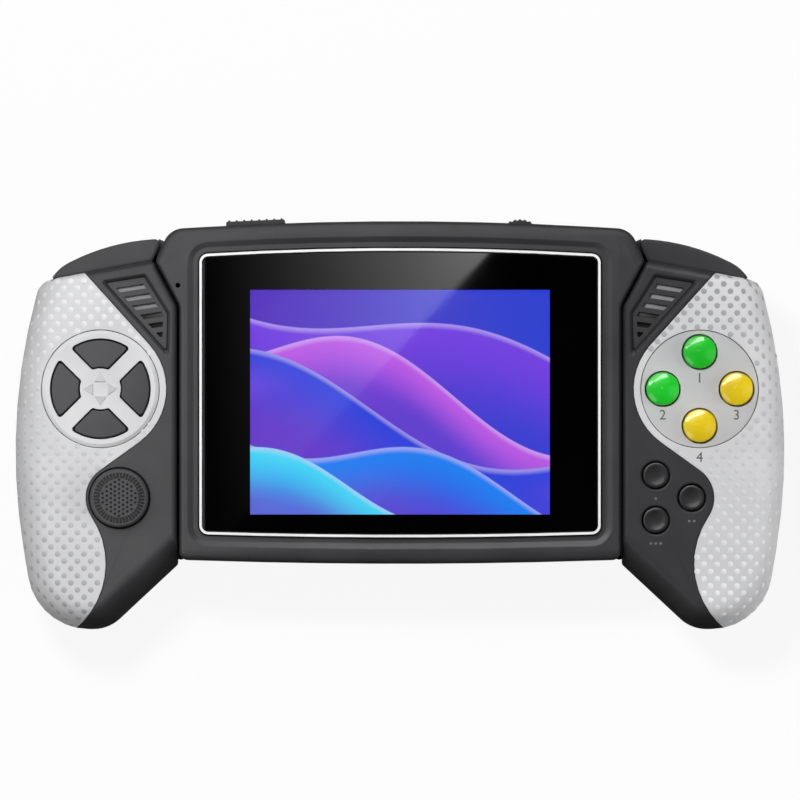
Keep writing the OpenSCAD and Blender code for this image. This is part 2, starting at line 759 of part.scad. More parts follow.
// Stick: the cap and stem slide along Y in a carriage that slides along X in the base
stick_p = mirrored(stick_c);
stem_r = 2.3;
stick_hole_r = stem_r + stick_travel * sqrt(2) + 0.4;
skirt_r = stick_hole_r + stick_travel + 0.8;
skirt_t = 0.9;
skirt_z = grip_ceiling_z - 0.3 - skirt_t;
cap_z = grip_front_z + 0.75;
cap_t = 2.3;
cap_rim = 0.9;
slide_t = 1.1;
slide_z = skirt_z - 0.3 - slide_t;
slide_w = 2 * (stem_r + 1.4);
slide_l = 2 * (stem_r + stick_travel + 1.4);
base_w = 17;
module stick_cap() {
  crown_r = 40;
  color(key_grey)
    translate([stick_p.x, stick_p.y, cap_z])
      intersection() {
        rotate_extrude() polygon(concat(
          [[0, 0], [stick_d / 2 - 0.6, 0], [stick_d / 2, 0.6]],
          arc([stick_d / 2 - cap_rim, cap_t - cap_rim], cap_rim, 0, 90, 5),
          [[0, cap_t]]
        ));
        translate([0, 0, cap_t - crown_r]) sphere(crown_r, $fn = 96);
      }
}
module stick_stem() {
  color(key_grey)
    translate([stick_p.x, stick_p.y, 0]) {
      rod(0, 0, slide_z + 0.1, cap_z, stem_r);
      rod(0, 0, skirt_z, skirt_z + skirt_t, skirt_r);
    }
}
module stick_slider() {
  color("#2b2b2d")
    translate([stick_p.x, stick_p.y, slide_z])
      difference() {
        translate([-slide_w / 2, -slide_l / 2, 0]) cube([slide_w, slide_l, slide_t]);
        hull() for (y = [-1, 1]) rod(0, y * stick_travel, -over, slide_t + over, stem_r + 0.2);
      }
}
module stick_base() {
  rail_y = slide_l / 2 + 0.15;
  color("#3a3a3d")
    translate([stick_p.x, stick_p.y, 0])
      difference() {
        block([-base_w / 2, -base_w / 2, key_board_top_z], [base_w / 2, base_w / 2, skirt_z - 0.3]);
        block([-base_w / 2 - over, -rail_y, slide_z - 0.1], [base_w / 2 + over, rail_y, skirt_z + over]);
      }
}

// Screen
lcd_side = 3.4;
lcd_end = 5.7;
lcd_w = picture_w + 2 * lcd_side;
lcd_h = picture_h + 2 * lcd_end;
glass_margin = 1.2;
glass_t = 1.4;
module screen_box(grow, z0, z1) {
  block([-picture_w / 2 - grow, picture_y - picture_h / 2 - grow, z0],
        [picture_w / 2 + grow, picture_y + picture_h / 2 + grow, z1]);
}
module lens() {
  color(lens_black)
    slab(lens_floor_z + seat_gap, lens_top_z) polygon(trim_outline(trim_line + seat_gap / 2));
}
module lens_trim() {
  color(trim_white)
    slab(lens_floor_z + seat_gap / 2, recess_z + trim_proud)
      difference() {
        polygon(trim_outline(0));
        polygon(trim_outline(trim_line));
      }
}
module lcd_frame() {
  color(metal_grey)
    difference() {
      block([-lcd_w / 2, picture_y - lcd_h / 2, lcd_z], [lcd_w / 2, picture_y + lcd_h / 2, lcd_top_z]);
      screen_box(glass_margin + seat_gap, lcd_top_z - glass_t - seat_gap, lcd_top_z + over);
    }
}
module lcd_glass() {
  color("#3a3f8f") screen_box(glass_margin, lcd_top_z - glass_t, lcd_top_z - seat_gap);
}
module lcd_ribbon() {
  top = lcd_z - seat_gap;
  low = main_board_top_z + seat_gap;
  color(ribbon_amber)
    translate([-9, -21, 0]) rotate([90, 0, 90])
      linear_extrude(18) polygon([
        [0, top - ribbon_t], [7, top - ribbon_t], [10, low], [16, low],
        [16, low + ribbon_t], [10.3, low + ribbon_t], [7.3, top], [0, top]
      ]);
}

// Centre shells
module centre_solid() {
  depths = [centre_front_z - parting_z, end_rim, 1.6, 0.85, 0.3, 0];
  loft([
    for (d = depths)
      raised(rounded(inset(centre_corners, [
        for (i = [0:9]) drawn_in(centre_across[i], centre_down[i], d)
      ])), centre_front_z - d)
  ]);
}
back_rim = 3;
module centre_back_solid() {
  depths = [0, 0.3, 0.9, 1.8, back_rim, parting_z - centre_back_z];
  loft([
    for (d = depths)
      raised(rounded(inset(centre_corners, [
        for (i = [0:9]) drawn_in(i == 0 || i == 4 || i == 5 || i == 9 ? back_rim : 1.5, back_rim, d)
      ])), centre_back_z + d)
  ]);
}
module centre_plan(d) {
  polygon(rounded(inset(centre_corners, even(centre_corners, d))));
}
module recess_cut() {
  loft([
    raised(trim_outline(recess_slope - recess_w), recess_z),
    raised(trim_outline(-recess_w - recess_slope / 4), centre_front_z + recess_depth / 4)
  ]);
}
module tongue_notches() {
  grow = seat_gap;
  for (y = tongue_places)
    block([seam_x - wall - over, y - tongue_w / 2 - grow, parting_z - over],
          [seam_x + over, y + tongue_w / 2 + grow, parting_z + tongue_h + grow]);
}
module centre_front_shell() {
  color(shell_grey)
    difference() {
      centre_solid();
      difference() {
        slab(parting_z - over, centre_ceiling_z) centre_plan(wall);
        for (p = centre_screws) rod(p.x, p.y, main_board_top_z + seat_gap, centre_front_z, post_r);
      }
      for (p = centre_screws) rod(p.x, p.y, parting_z, centre_ceiling_z - 1, screw_r + shaft_gap);
      recess_cut();
      slab(lens_floor_z, centre_front_z + over) polygon(trim_outline(-seat_gap));
      screen_box(0.8, centre_ceiling_z - over, centre_front_z);
      tongue_notches();
      left() tongue_notches();
      ribbon_slot();
      left() ribbon_slot();
      switch_slot();
      rod(wheel_x, wheel_y, wheel_z - 0.3, wheel_z + wheel_t + 0.3, wheel_d / 2 + 0.3);
      usb_opening();
      jack_opening();
      rod(led_p.x, led_p.y, parting_z, centre_front_z + over, led_r + shaft_gap);
    }
}

// Battery bay in the rear shell and the door that slides off it
door_t = 1.6;
door_side = 1.65;
door_w = battery_l + 2 * door_side;
door_top_y = 11;
tongue_lap = 1.2;
tongue_z = centre_back_z + 0.9;
battery_gap = 0.3;
battery_y = -8;
battery_z = centre_back_z + door_t + battery_gap;
bay_top_z = battery_z + battery_t + 0.2;
bay_wall = 1.2;
module battery_box(grow, z0, z1) {
  block([-battery_l / 2 - grow, battery_y - battery_w / 2 - grow, z0],
        [battery_l / 2 + grow, battery_y + battery_w / 2 + grow, z1]);
}
module door_blank(grow) {
  low = centre_bottom_y - 2;
  block([-door_w / 2 - grow, low, centre_back_z - over],
        [door_w / 2 + grow, door_top_y + grow, centre_back_z + door_t + grow]);
  block([-door_w / 2 - tongue_lap - grow, low, tongue_z - grow],
        [door_w / 2 + tongue_lap + grow, door_top_y - 2 + grow, centre_back_z + door_t + grow]);
}
module centre_rear_shell() {
  color(shell_grey)
    difference() {
      union() {
        centre_back_solid();
        battery_box(battery_gap + bay_wall, parting_z - over, bay_top_z + bay_wall);
        for (p = centre_screws) rod(p.x, p.y, parting_z - over, main_board_z - seat_gap, boss_r);
        shoulder_stop();
        left() shoulder_stop();
      }
      difference() {
        slab(centre_back_z + wall, parting_z + over) centre_plan(wall);
        battery_box(battery_gap + bay_wall, centre_back_z, parting_z + 2 * over);
        for (p = centre_screws) rod(p.x, p.y, centre_back_z, parting_z + 2 * over, boss_r);
        for (x = [-1, 1]) translate([x * (door_w / 2 + tongue_lap), 0, 0])
          block([-2, centre_bottom_y, centre_back_z], [2, door_top_y + 1.5, tongue_z + 2.6]);
      }
      battery_box(battery_gap, centre_back_z - over, bay_top_z);
      door_blank(0.2);
      block([-contact_w / 2 - 0.2, battery_y + battery_w / 2, centre_back_z + wall + 0.8],
            [contact_w / 2 + 0.2, battery_y + battery_w / 2 + battery_gap + contact_t + 0.2, parting_z + over + wall]);
      for (p = centre_screws) rod(p.x, p.y, centre_back_z - over, centre_well_z, well_r);
      for (p = centre_screws) rod(p.x, p.y, centre_back_z, main_board_z, screw_hole_r);
    }
}
module battery_door() {
  groove_pitch = 2.2;
  color(shell_grey)
    difference() {
      intersection() {
        centre_back_solid();
        door_blank(0);
      }
      for (i = [0:4])
        block([-7, -26 + i * groove_pitch, centre_back_z - over],
              [7, -25 + i * groove_pitch, centre_back_z + 0.5]);
    }
}
module battery() {
  color("#d8d8da") battery_box(0, battery_z, battery_z + battery_t);
}
contact_w = 10;
contact_t = 3.4;
module battery_contacts() {
  y0 = battery_y + battery_w / 2 + battery_gap;
  z0 = centre_back_z + wall + 1;
  color("#c9a227") {
    block([-contact_w / 2, y0, z0], [contact_w / 2, y0 + contact_t, main_board_z - seat_gap]);
    for (x = [-3, 0, 3])
      block([x - 0.6, y0 - battery_gap + 0.1, z0 + 1], [x + 0.6, y0, z0 + 3.4]);
  }
}

// Boards
module main_board() {
  edge = 0.8;
  chip = 14;
  color(board_green)
    difference() {
      union() {
        slab(main_board_z, main_board_top_z)
          difference() {
            centre_plan(wall + tongue_head_t + seat_gap + edge);
            translate([wheel_x, top_edge_y(wheel_x)]) square([18, 5], center = true);
          }
        slab(main_board_top_z - 0.1, main_board_top_z + 1.2) translate([-16, 12]) square(chip, center = true);
        slab(main_board_top_z - 0.1, main_board_top_z + 1) translate([6, 14]) square([8, 11], center = true);
      }
      for (p = centre_screws) rod(p.x, p.y, 0, centre_front_z, screw_hole_r);
    }
}
module key_board() {
  corners = [
    [grip_x + wall + 0.6, -26.2, 1], [grip_x + 28.5, -26.2, 4], [grip_x + 30.6, -3, 20],
    [grip_x + 27.9, 22, 1.5], [grip_x + wall + 0.6, 22, 1.5]
  ];
  ear_w = 7;
  color(board_green)
    difference() {
      slab(key_board_z, key_board_top_z)
        union() {
          polygon(rounded(corners, 5));
          translate([shoulder_at.x, shoulder_at.y]) rotate(-grip_top_deg)
            translate([-ear_w / 2, -switch_v - switch_deep]) square([ear_w, switch_deep]);
          translate([shoulder_at.x - ear_w / 2 - 1.2, 20]) square([ear_w, 9]);
        }
      for (p = key_board_studs) rod(p.x, p.y, 0, grip_front_z, small_screw_r + 0.2);
    }
}
module ribbon() {
  low = main_board_top_z + seat_gap;
  high = key_board_z - seat_gap - ribbon_t;
  inner = seam_x - 10;
  color(ribbon_amber)
    translate([0, ribbon_y + ribbon_w / 2, 0]) rotate([90, 0, 0])
      linear_extrude(ribbon_w) polygon([
        [inner, low], [seam_x - 1.5, low], [grip_x + 2.5, high], [grip_x + 8, high],
        [grip_x + 8, high + ribbon_t], [grip_x + 2.4, high + ribbon_t],
        [seam_x - 1.6, low + ribbon_t], [inner, low + ribbon_t]
      ]);
}

// Speakers and grilles
speaker_c = [grip_x + 9.2, 27];
speaker_r = 6.1;
module speaker() {
  face_z = grip_ceiling_z - seat_gap;
  color("#2c2c30")
    translate([speaker_c.x, speaker_c.y, face_z])
      rotate_extrude() polygon([
        [0, -0.9], [speaker_r - 2.6, -1.3], [speaker_r - 1.2, -0.5], [speaker_r - 0.9, 0],
        [speaker_r, 0], [speaker_r, -1.4], [speaker_r - 2.4, -2.2], [speaker_r - 2.4, -3], [0, -3]
      ]);
}
module grille() {
  color(shell_grey)
    difference() {
      slab(grille_top_z - grille_t + seat_gap, grille_top_z) grille_outline(grille_slope + seat_gap);
      intersection() {
        slab(grille_top_z - 2 * grille_t, grille_top_z + over) grille_outline(grille_ledge + 0.5);
        translate([grille_corners[2].x, grille_corners[2].y, 0]) rotate(grille_deg)
          for (i = [1:8])
            block([-20, -i * slot_pitch - slot_w / 2 - 0.5, grip_ceiling_z],
                  [20, -i * slot_pitch + slot_w / 2 - 0.5, grip_front_z]);
      }
    }
}

// Power switch on the top edge; its frame follows the bow
switch_x = switch_in - seam_x;
switch_deg = -asin(switch_x / top_bow_r);
knob_w = 6;
knob_gap = 0.25;
knob_stem_l = 5;
knob_stem_w = 3;
switch_z = parting_z + 3.8;
switch_body_l = 12;
switch_body_w = 5;
switch_body_h = 4.6;
module on_switch() {
  translate([switch_x, top_edge_y(switch_x), switch_z]) rotate(switch_deg) children();
}
module switch_slot() {
  on_switch()
    block([-knob_stem_l / 2 - 0.3, -wall - 1.5, knob_w / 2 - knob_stem_w / 2 - 0.3],
          [knob_stem_l / 2 + switch_travel + 0.3, 1, knob_w / 2 + knob_stem_w / 2 + 0.3]);
}
module power_knob() {
  rib_pitch = 1.75;
  ribs = floor((switch_l - 1) / rib_pitch);
  color("#3d3d3f")
    on_switch() difference() {
      union() {
        block([-switch_l / 2, knob_gap, 0], [switch_l / 2, switch_rise, knob_w]);
        block([-knob_stem_l / 2, -wall - 2.2, knob_w / 2 - knob_stem_w / 2],
              [knob_stem_l / 2, knob_gap + 0.1, knob_w / 2 + knob_stem_w / 2]);
      }
      for (i = [0:ribs])
        translate([(i - ribs / 2) * rib_pitch, switch_rise + 0.15, -over])
          cylinder(h = knob_w + 2 * over, r = 0.5);
    }
}
module power_switch() {
  low = main_board_top_z - switch_z;
  color(metal_grey)
    on_switch() difference() {
      block([-switch_body_l / 2 + switch_travel / 2, -wall - 1.2 - switch_body_w, low],
            [switch_body_l / 2 + switch_travel / 2, -wall - 1.2, low + switch_body_h]);
      block([-knob_stem_l / 2 - 0.3, -wall - 2.6, low + 0.6],
            [knob_stem_l / 2 + switch_travel + 0.3, 0, low + switch_body_h + over]);
    }
}

// Volume wheel on its potentiometer
wheel_t = 2.4;
wheel_x = seam_x - wheel_in;
wheel_y = top_edge_y(wheel_x) + wheel_rise - wheel_d / 2;
wheel_z = main_board_top_z + 1.3;
wheel_shaft_r = 1.5;
module volume_wheel() {
  notches = 30;
  color("#3d3d3f")
    translate([wheel_x, wheel_y, 0])
      difference() {
        rod(0, 0, wheel_z, wheel_z + wheel_t, wheel_d / 2);
        rod(0, 0, wheel_z - over, wheel_z + wheel_t + over, wheel_shaft_r + shaft_gap);
        for (i = [0:notches - 1]) rotate(i * 360 / notches)
          rod(wheel_d / 2 + 0.2, 0, wheel_z - over, wheel_z + wheel_t + over, 0.45);
      }
}
module volume_pot() {
  pot_w = 9;
  color("#2c2c30")
    translate([wheel_x, wheel_y - 1, 0]) {
      block([-pot_w / 2, -pot_w / 2, main_board_top_z], [pot_w / 2, 2.5, wheel_z - 0.3]);
      rod(0, 1, main_board_top_z, wheel_z + wheel_t, wheel_shaft_r);
    }
}

// Shoulder buttons and their switches
switch_v = stalk_wall_v + seat_gap + stalk_ear_t + shoulder_travel + 0.15;
switch_deep = 3.4;
module shoulder_button() {
  color(shell_grey) {
    slab(shoulder_z0, shoulder_z1) polygon(rounded(shoulder_corners(), 8));
    on_shoulder() {
      block([-stalk_w / 2, -stalk_wall_v - seat_gap - stalk_ear_t, stalk_z0], [stalk_w / 2, 0.5, stalk_z1]);
      block([-stalk_w / 2 - stalk_ear, -stalk_wall_v - seat_gap - stalk_ear_t, stalk_z0],
            [stalk_w / 2 + stalk_ear, -stalk_wall_v - seat_gap, stalk_z1]);
    }
  }
}
module shoulder_switch() {
  color(metal_grey)
    on_shoulder() block([-2.2, -switch_v - switch_deep, key_board_top_z], [2.2, -switch_v, stalk_z1]);
}

// Indicator light pipe, ports and fasteners
led_p = [-seam_x - 0.35, 32.4];
led_r = 0.5;
led_arm = 1.3;
module indicator_lens() {
  color("#e8e8ea") {
    rod(led_p.x, led_p.y, centre_ceiling_z - 1, centre_front_z - 0.15, led_r);
    rod(led_p.x + led_arm, led_p.y, centre_ceiling_z - 1, centre_ceiling_z - seat_gap, 0.9);
    block([led_p.x, led_p.y - 0.25, centre_ceiling_z - 1],
          [led_p.x + led_arm, led_p.y + 0.25, centre_ceiling_z - seat_gap]);
  }
}
usb_x = -14;
usb_w = 7.7;
usb_h = 3.9;
usb_l = 8.6;
usb_z = main_board_top_z;
module usb_opening() {
  y = bottom_edge_y(usb_x);
  block([usb_x - usb_w / 2 - 0.3, y - over, usb_z - 0.2],
        [usb_x + usb_w / 2 + 0.3, y + wall + over, usb_z + usb_h + 0.3]);
}
module usb_port() {
  y = bottom_edge_y(usb_x) + 0.5;
  skin = 0.4;
  color(metal_grey)
    difference() {
      block([usb_x - usb_w / 2, y, usb_z], [usb_x + usb_w / 2, y + usb_l, usb_z + usb_h]);
      difference() {
        block([usb_x - usb_w / 2 + skin, y - over, usb_z + skin],
              [usb_x + usb_w / 2 - skin, y + usb_l - 1.5, usb_z + usb_h - skin]);
        block([usb_x - 2.2, y + 1, usb_z + usb_h / 2 - 0.5],
              [usb_x + 2.2, y + usb_l, usb_z + usb_h / 2 + 0.5]);
      }
    }
}
jack_x = 14;
jack_bore_r = 1.8;
jack_nose_r = 2.6;
jack_w = 6.6;
jack_l = 11.5;
jack_h = 5;
jack_z = main_board_top_z + jack_h / 2;
jack_depth = 10;
module along_jack(y) {
  translate([jack_x, y, jack_z]) rotate([-90, 0, 0]) children();
}
module jack_opening() {
  along_jack(bottom_edge_y(jack_x) - over) cylinder(h = wall + 2 * over, r = jack_nose_r + 0.2);
}
module av_jack() {
  y = bottom_edge_y(jack_x);
  color("#2c2c30")
    difference() {
      union() {
        block([jack_x - jack_w / 2, y + wall + 0.2, main_board_top_z],
              [jack_x + jack_w / 2, y + wall + jack_l, main_board_top_z + jack_h]);
        along_jack(y + 0.2) cylinder(h = wall + 1, r = jack_nose_r);
      }
      along_jack(y - over) cylinder(h = jack_depth + over, r = jack_bore_r);
    }
}
module screw(p, face_z, tip_z) {
  rod(p.x, p.y, face_z - seat_gap - screw_head_h, face_z - seat_gap, screw_head_r);
  rod(p.x, p.y, face_z - screw_head_h, tip_z, screw_r);
}
module case_screws() {
  color("#8d8f94") {
    for (p = centre_screws) screw(p, centre_well_z, centre_ceiling_z - 2);
    for (p = grip_screws) {
      screw(p, grip_well_z, grip_ceiling_z - 2);
      left() screw(p, grip_well_z, grip_ceiling_z - 2);
    }
  }
}
module small_screw(p) {
  rod(p.x, p.y, key_board_z - seat_gap - small_head_h, key_board_z - seat_gap, small_head_r);
  rod(p.x, p.y, key_board_z - small_head_h, grip_ceiling_z - 1, small_screw_r);
}
module board_screws() {
  color("#8d8f94")
    for (p = key_board_studs) {
      small_screw(p);
      left() small_screw(p);
    }
}

module left_grip_front() {
  color(shell_grey) left() grip_front() {
    rod(plate_c.x, plate_c.y, grip_ceiling_z - over, grip_front_z + over, dpad_hub_r + seam_gap);
    rod(stick_c.x, stick_c.y, grip_ceiling_z - over, grip_front_z + over, stick_hole_r);
  }
}
module right_grip_front() {
  color(shell_grey) grip_front() {
    face_holes(0.2);
    face_relief();
    menu_holes();
  }
}

centre_front_shell();
centre_rear_shell();
left_grip_front();
right_grip_front();
color(shell_grey) left() grip_rear();  // left_grip_rear
color(shell_grey) grip_rear();  // right_grip_rear
left() grip_panel();  // left_grip_panel
grip_panel();  // right_grip_panel
dpad_plate();
button_plate();
left() grille();  // left_grille
grille();  // right_grille
lens();
lens_trim();
lcd_frame();
lcd_glass();
lcd_ribbon();
main_board();
left() key_board();  // left_key_board
key_board();  // right_key_board
left() ribbon();  // left_ribbon
ribbon();  // right_ribbon
battery();
battery_door();
battery_contacts();
left() speaker();  // left_speaker
speaker();  // right_speaker
dpad_key(90);  // dpad_up_key
dpad_key(270);  // dpad_down_key
dpad_key(180);  // dpad_left_key
dpad_key(0);  // dpad_right_key
dpad_rubber();
face_button(90, button_green);  // face_button_top
face_button(270, button_yellow);  // face_button_bottom
face_button(180, button_green);  // face_button_left
face_button(0, button_yellow);  // face_button_right
face_rubber();
menu_button(0);  // menu_button_upper
menu_button(1);  // menu_button_side
menu_button(2);  // menu_button_lower
menu_rubber();
stick_cap();
stick_stem();
stick_slider();
stick_base();
power_knob();
power_switch();
volume_wheel();
volume_pot();
left() shoulder_button();  // left_shoulder_button
shoulder_button();  // right_shoulder_button
left() shoulder_switch();  // left_shoulder_switch
shoulder_switch();  // right_shoulder_switch
indicator_lens();
usb_port();
av_jack();
case_screws();
board_screws();
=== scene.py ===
import json
import math

import bmesh
import bpy
from mathutils import Matrix, Vector
from mathutils.bvhtree import BVHTree


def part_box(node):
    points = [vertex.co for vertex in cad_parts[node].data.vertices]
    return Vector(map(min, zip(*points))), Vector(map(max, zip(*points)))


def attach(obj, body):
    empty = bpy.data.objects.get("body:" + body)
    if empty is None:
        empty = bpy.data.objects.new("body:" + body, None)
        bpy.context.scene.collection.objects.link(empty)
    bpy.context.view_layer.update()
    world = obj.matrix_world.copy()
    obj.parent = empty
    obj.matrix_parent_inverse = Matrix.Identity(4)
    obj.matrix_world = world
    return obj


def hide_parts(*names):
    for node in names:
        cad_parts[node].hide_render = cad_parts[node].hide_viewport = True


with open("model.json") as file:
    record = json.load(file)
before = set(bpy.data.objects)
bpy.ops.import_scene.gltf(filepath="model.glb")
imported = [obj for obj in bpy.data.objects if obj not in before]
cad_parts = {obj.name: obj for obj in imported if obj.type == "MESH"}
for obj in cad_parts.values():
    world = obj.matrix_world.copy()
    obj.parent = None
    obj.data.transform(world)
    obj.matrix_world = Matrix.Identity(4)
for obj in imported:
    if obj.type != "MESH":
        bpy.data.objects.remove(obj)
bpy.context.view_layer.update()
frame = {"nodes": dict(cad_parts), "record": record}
cadNodes = frame["nodes"]
bodyOf = {name: body for body, names in frame["record"]["behaviour"]["bodies"].items() for name in names}
mm = 0.001
print("frame loaded,", len(cadNodes), "nodes")


# Colours are written as the 0-255 values that they show on screen
def tint(red, green, blue):
    def linear(value):
        value /= 255
        return value / 12.92 if value < 0.04045 else ((value + 0.055) / 1.055) ** 2.4
    return (linear(red), linear(green), linear(blue), 1)


def grey(level, cool=2):
    return tint(level, level, level + cool)


# Shader building: a value may be a number, a colour or another node's socket
def plug(tree, socket, value):
    if isinstance(value, bpy.types.NodeSocket):
        tree.links.new(value, socket)
    else:
        socket.default_value = value


def addNode(tree, kind, settings=None, **inputs):
    node = tree.nodes.new(kind)
    for name, value in (settings or {}).items():
        setattr(node, name, value)
    for name, value in inputs.items():
        plug(tree, node.inputs[name.replace("_", " ")], value)
    return node


def calc(tree, operation, first, second=0.0):
    node = addNode(tree, "ShaderNodeMath", {"operation": operation})
    plug(tree, node.inputs[0], first)
    plug(tree, node.inputs[1], second)
    return node.outputs[0]


def between(tree, value, low, high, toLow=0.0, toHigh=1.0, kind="SMOOTHSTEP"):
    node = addNode(tree, "ShaderNodeMapRange", {"interpolation_type": kind, "clamp": True})
    for i, v in enumerate((value, low, high, toLow, toHigh)):
        plug(tree, node.inputs[i], v)
    return node.outputs[0]


def blendColour(tree, share, first, second):
    node = addNode(tree, "ShaderNodeMix", {"data_type": "RGBA"})
    plug(tree, node.inputs["Factor"], share)
    plug(tree, node.inputs[6], first)
    plug(tree, node.inputs[7], second)
    return node.outputs[2]


def noise(tree, where, size, detail=2.0, rough=0.5):
    node = addNode(tree, "ShaderNodeTexNoise", Vector=where, Scale=1 / size, Detail=detail, Roughness=rough)
    return node.outputs["Fac"]


def startMaterial(name):
    material = bpy.data.materials.new(name)
    material.use_nodes = True
    tree = material.node_tree
    tree.nodes.clear()
    out = tree.nodes.new("ShaderNodeOutputMaterial")
    where = tree.nodes.new("ShaderNodeTexCoord").outputs["Object"]
    return material, tree, out, where


def addBsdf(tree, out, **inputs):
    bsdf = addNode(tree, "ShaderNodeBsdfPrincipled", **inputs)
    tree.links.new(bsdf.outputs[0], out.inputs["Surface"])
    return bsdf


def addBump(tree, bsdf, height, depth, edge=0.0):
    bump = addNode(tree, "ShaderNodeBump", Height=height, Strength=1.0, Distance=depth)
    if edge:
        rolled = addNode(tree, "ShaderNodeBevel", {"samples": 6}, Radius=edge)
        tree.links.new(rolled.outputs["Normal"], bump.inputs["Normal"])
    tree.links.new(bump.outputs["Normal"], bsdf.inputs["Normal"])


# Moulded or lacquered plastic: soft patches of tone, fine grain in roughness and relief
toneLook = dict(patch=14, patchShare=0.65)


def plastic(name, look):
    material, tree, out, where = startMaterial(name)
    patch = noise(tree, where, toneLook["patch"] * mm, 3)
    grain = noise(tree, where, look["grain"] * mm, 2, 0.6)
    patchShare = toneLook["patchShare"]
    share = calc(tree, "ADD", calc(tree, "MULTIPLY", patch, patchShare), calc(tree, "MULTIPLY", grain, 1 - patchShare))
    colour = blendColour(tree, between(tree, share, 0.35, 0.65), look["dark"], look["light"])
    # Painted light and shade: the colour blends towards the upper tone along Y, standing in for light falling unevenly
    # along the panel
    if "upper" in look:
        height = addNode(tree, "ShaderNodeSeparateXYZ", Vector=where).outputs[1]
        low, high = look["span"]
        colour = blendColour(tree, between(tree, height, low * mm, high * mm, kind="LINEAR"), colour, look["upper"])
    # Painted shade: darkens the colour where a mesh attribute marks the cap's pits and grooves
    if "pit_shade" in look:
        pit_shade = addNode(tree, "ShaderNodeAttribute", {"attribute_name": "pit_shade"}).outputs["Fac"]
        colour = blendColour(tree, pit_shade, colour, look["pit_shade"])
    rough = between(tree, grain, 0.3, 0.7, look["rough"][0], look["rough"][1], "LINEAR")
    bsdf = addBsdf(tree, out, Base_Color=colour, Roughness=rough, Metallic=look.get("metal", 0.0))
    bsdf.inputs["Specular IOR Level"].default_value = look.get("shine", 0.5)
    if look.get("coat"):
        bsdf.inputs["Coat Weight"].default_value = look["coat"]
        bsdf.inputs["Coat Roughness"].default_value = look.get("coatRough", 0.05)
    addBump(tree, bsdf, grain, look["relief"] * mm, look.get("edge", 0.0) * mm)
    return material


finishes = {
    "shell": dict(dark=grey(41), light=grey(49), grain=0.16, rough=(0.42, 0.54), relief=0.006, edge=0.2),
    "shoulder": dict(dark=grey(40), light=grey(48), grain=0.16, rough=(0.42, 0.54), relief=0.006, edge=1.3),
    "mark": dict(dark=grey(188, 3), light=grey(196, 3), grain=0.08, rough=(0.4, 0.5), relief=0.002),
    "grip": dict(dark=grey(38), light=grey(46), grain=0.16, rough=(0.42, 0.54), relief=0.006, edge=0.5),
    "key_plastic": dict(dark=grey(50, 3), light=grey(58, 3), grain=0.14, rough=(0.36, 0.48), relief=0.004),
    "panel": dict(dark=grey(206), light=grey(216, 1), grain=0.1, rough=(0.46, 0.58), relief=0.003,
                  shine=0.15, edge=0.35),
    # Grip dots: their tone along Y, pale at the top on the left and dark at the top on the right, is painted light and
    # shade
    "dot_left": dict(dark=grey(172, 3), light=grey(180, 3), upper=grey(229), span=(-38, 26), grain=0.1,
                     rough=(0.3, 0.4), relief=0.002, shine=0.15),
    "dot_right": dict(dark=grey(232), light=grey(238), upper=grey(162, 4), span=(-38, 30), grain=0.1,
                      rough=(0.3, 0.4), relief=0.002, shine=0.15),
    "plate": dict(dark=grey(198), light=grey(210, 1), grain=0.08, rough=(0.28, 0.38), relief=0.002, metal=0.15),
    "trim": dict(dark=grey(238, 1), light=grey(248, 0), grain=0.2, rough=(0.2, 0.3), relief=0.001),
    "speaker": dict(dark=grey(24), light=grey(34), grain=0.3, rough=(0.6, 0.75), relief=0.02),
    "rubber": dict(dark=tint(192, 189, 180), light=tint(204, 201, 193), grain=0.25, rough=(0.55, 0.7), relief=0.004),
    "green_button": dict(dark=tint(8, 190, 30), light=tint(14, 206, 40), grain=0.4, rough=(0.3, 0.36),
                         relief=0.001, coat=1.0, coatRough=0.04),
    "yellow_button": dict(dark=tint(226, 194, 0), light=tint(240, 210, 0), grain=0.4, rough=(0.3, 0.36),
                          relief=0.001, coat=1.0, coatRough=0.04),
    # Near-black rubber used as painted shade in gaps and under the stick cap
    "shade_black_rubber": dict(dark=grey(10, 1), light=grey(16, 1), grain=0.2, rough=(0.8, 0.9), relief=0.004, shine=0.1),
    "ink": dict(dark=grey(74, 4), light=grey(92, 4), grain=0.1, rough=(0.45, 0.6), relief=0.001),
    "pale_ink": dict(dark=grey(104), light=grey(118), grain=0.1, rough=(0.45, 0.6), relief=0.001),
    # Stick cap: the pit colour is painted shade inside its pits and grooves
    "stick": dict(dark=grey(44), light=grey(51), pit_shade=grey(10, 1), grain=0.14, rough=(0.4, 0.5), relief=0.004),
    "control": dict(dark=grey(24), light=grey(32), grain=0.14, rough=(0.4, 0.52), relief=0.005),
    "pouch": dict(dark=grey(206), light=grey(220), grain=0.5, rough=(0.3, 0.4), relief=0.01),
    "ribbon": dict(dark=tint(172, 112, 40), light=tint(190, 126, 50), grain=0.4, rough=(0.25, 0.35), relief=0.004),
    # Indicator light pipe: near black with no reflection, painted shade for the dark LED hole
    "clear_pipe": dict(dark=grey(3, 1), light=grey(7, 1), grain=0.2, rough=(0.3, 0.4), relief=0.001, shine=0.0),
}
materials = {slot: plastic(slot, look) for slot, look in finishes.items()}


# Plated metal: fine drawn lines along X
def platedMetal(name, look):
    material, tree, out, where = startMaterial(name)
    stretched = addNode(tree, "ShaderNodeMapping", Vector=where)
    stretched.inputs["Scale"].default_value = (0.08, 1, 1)
    lines = noise(tree, stretched.outputs[0], look["line"] * mm, 3, 0.6)
    colour = blendColour(tree, lines, look["dark"], look["light"])
    rough = between(tree, lines, 0.3, 0.7, look["rough"][0], look["rough"][1], "LINEAR")
    bsdf = addBsdf(tree, out, Base_Color=colour, Roughness=rough, Metallic=1.0)
    addBump(tree, bsdf, lines, 0.003 * mm)
    return material


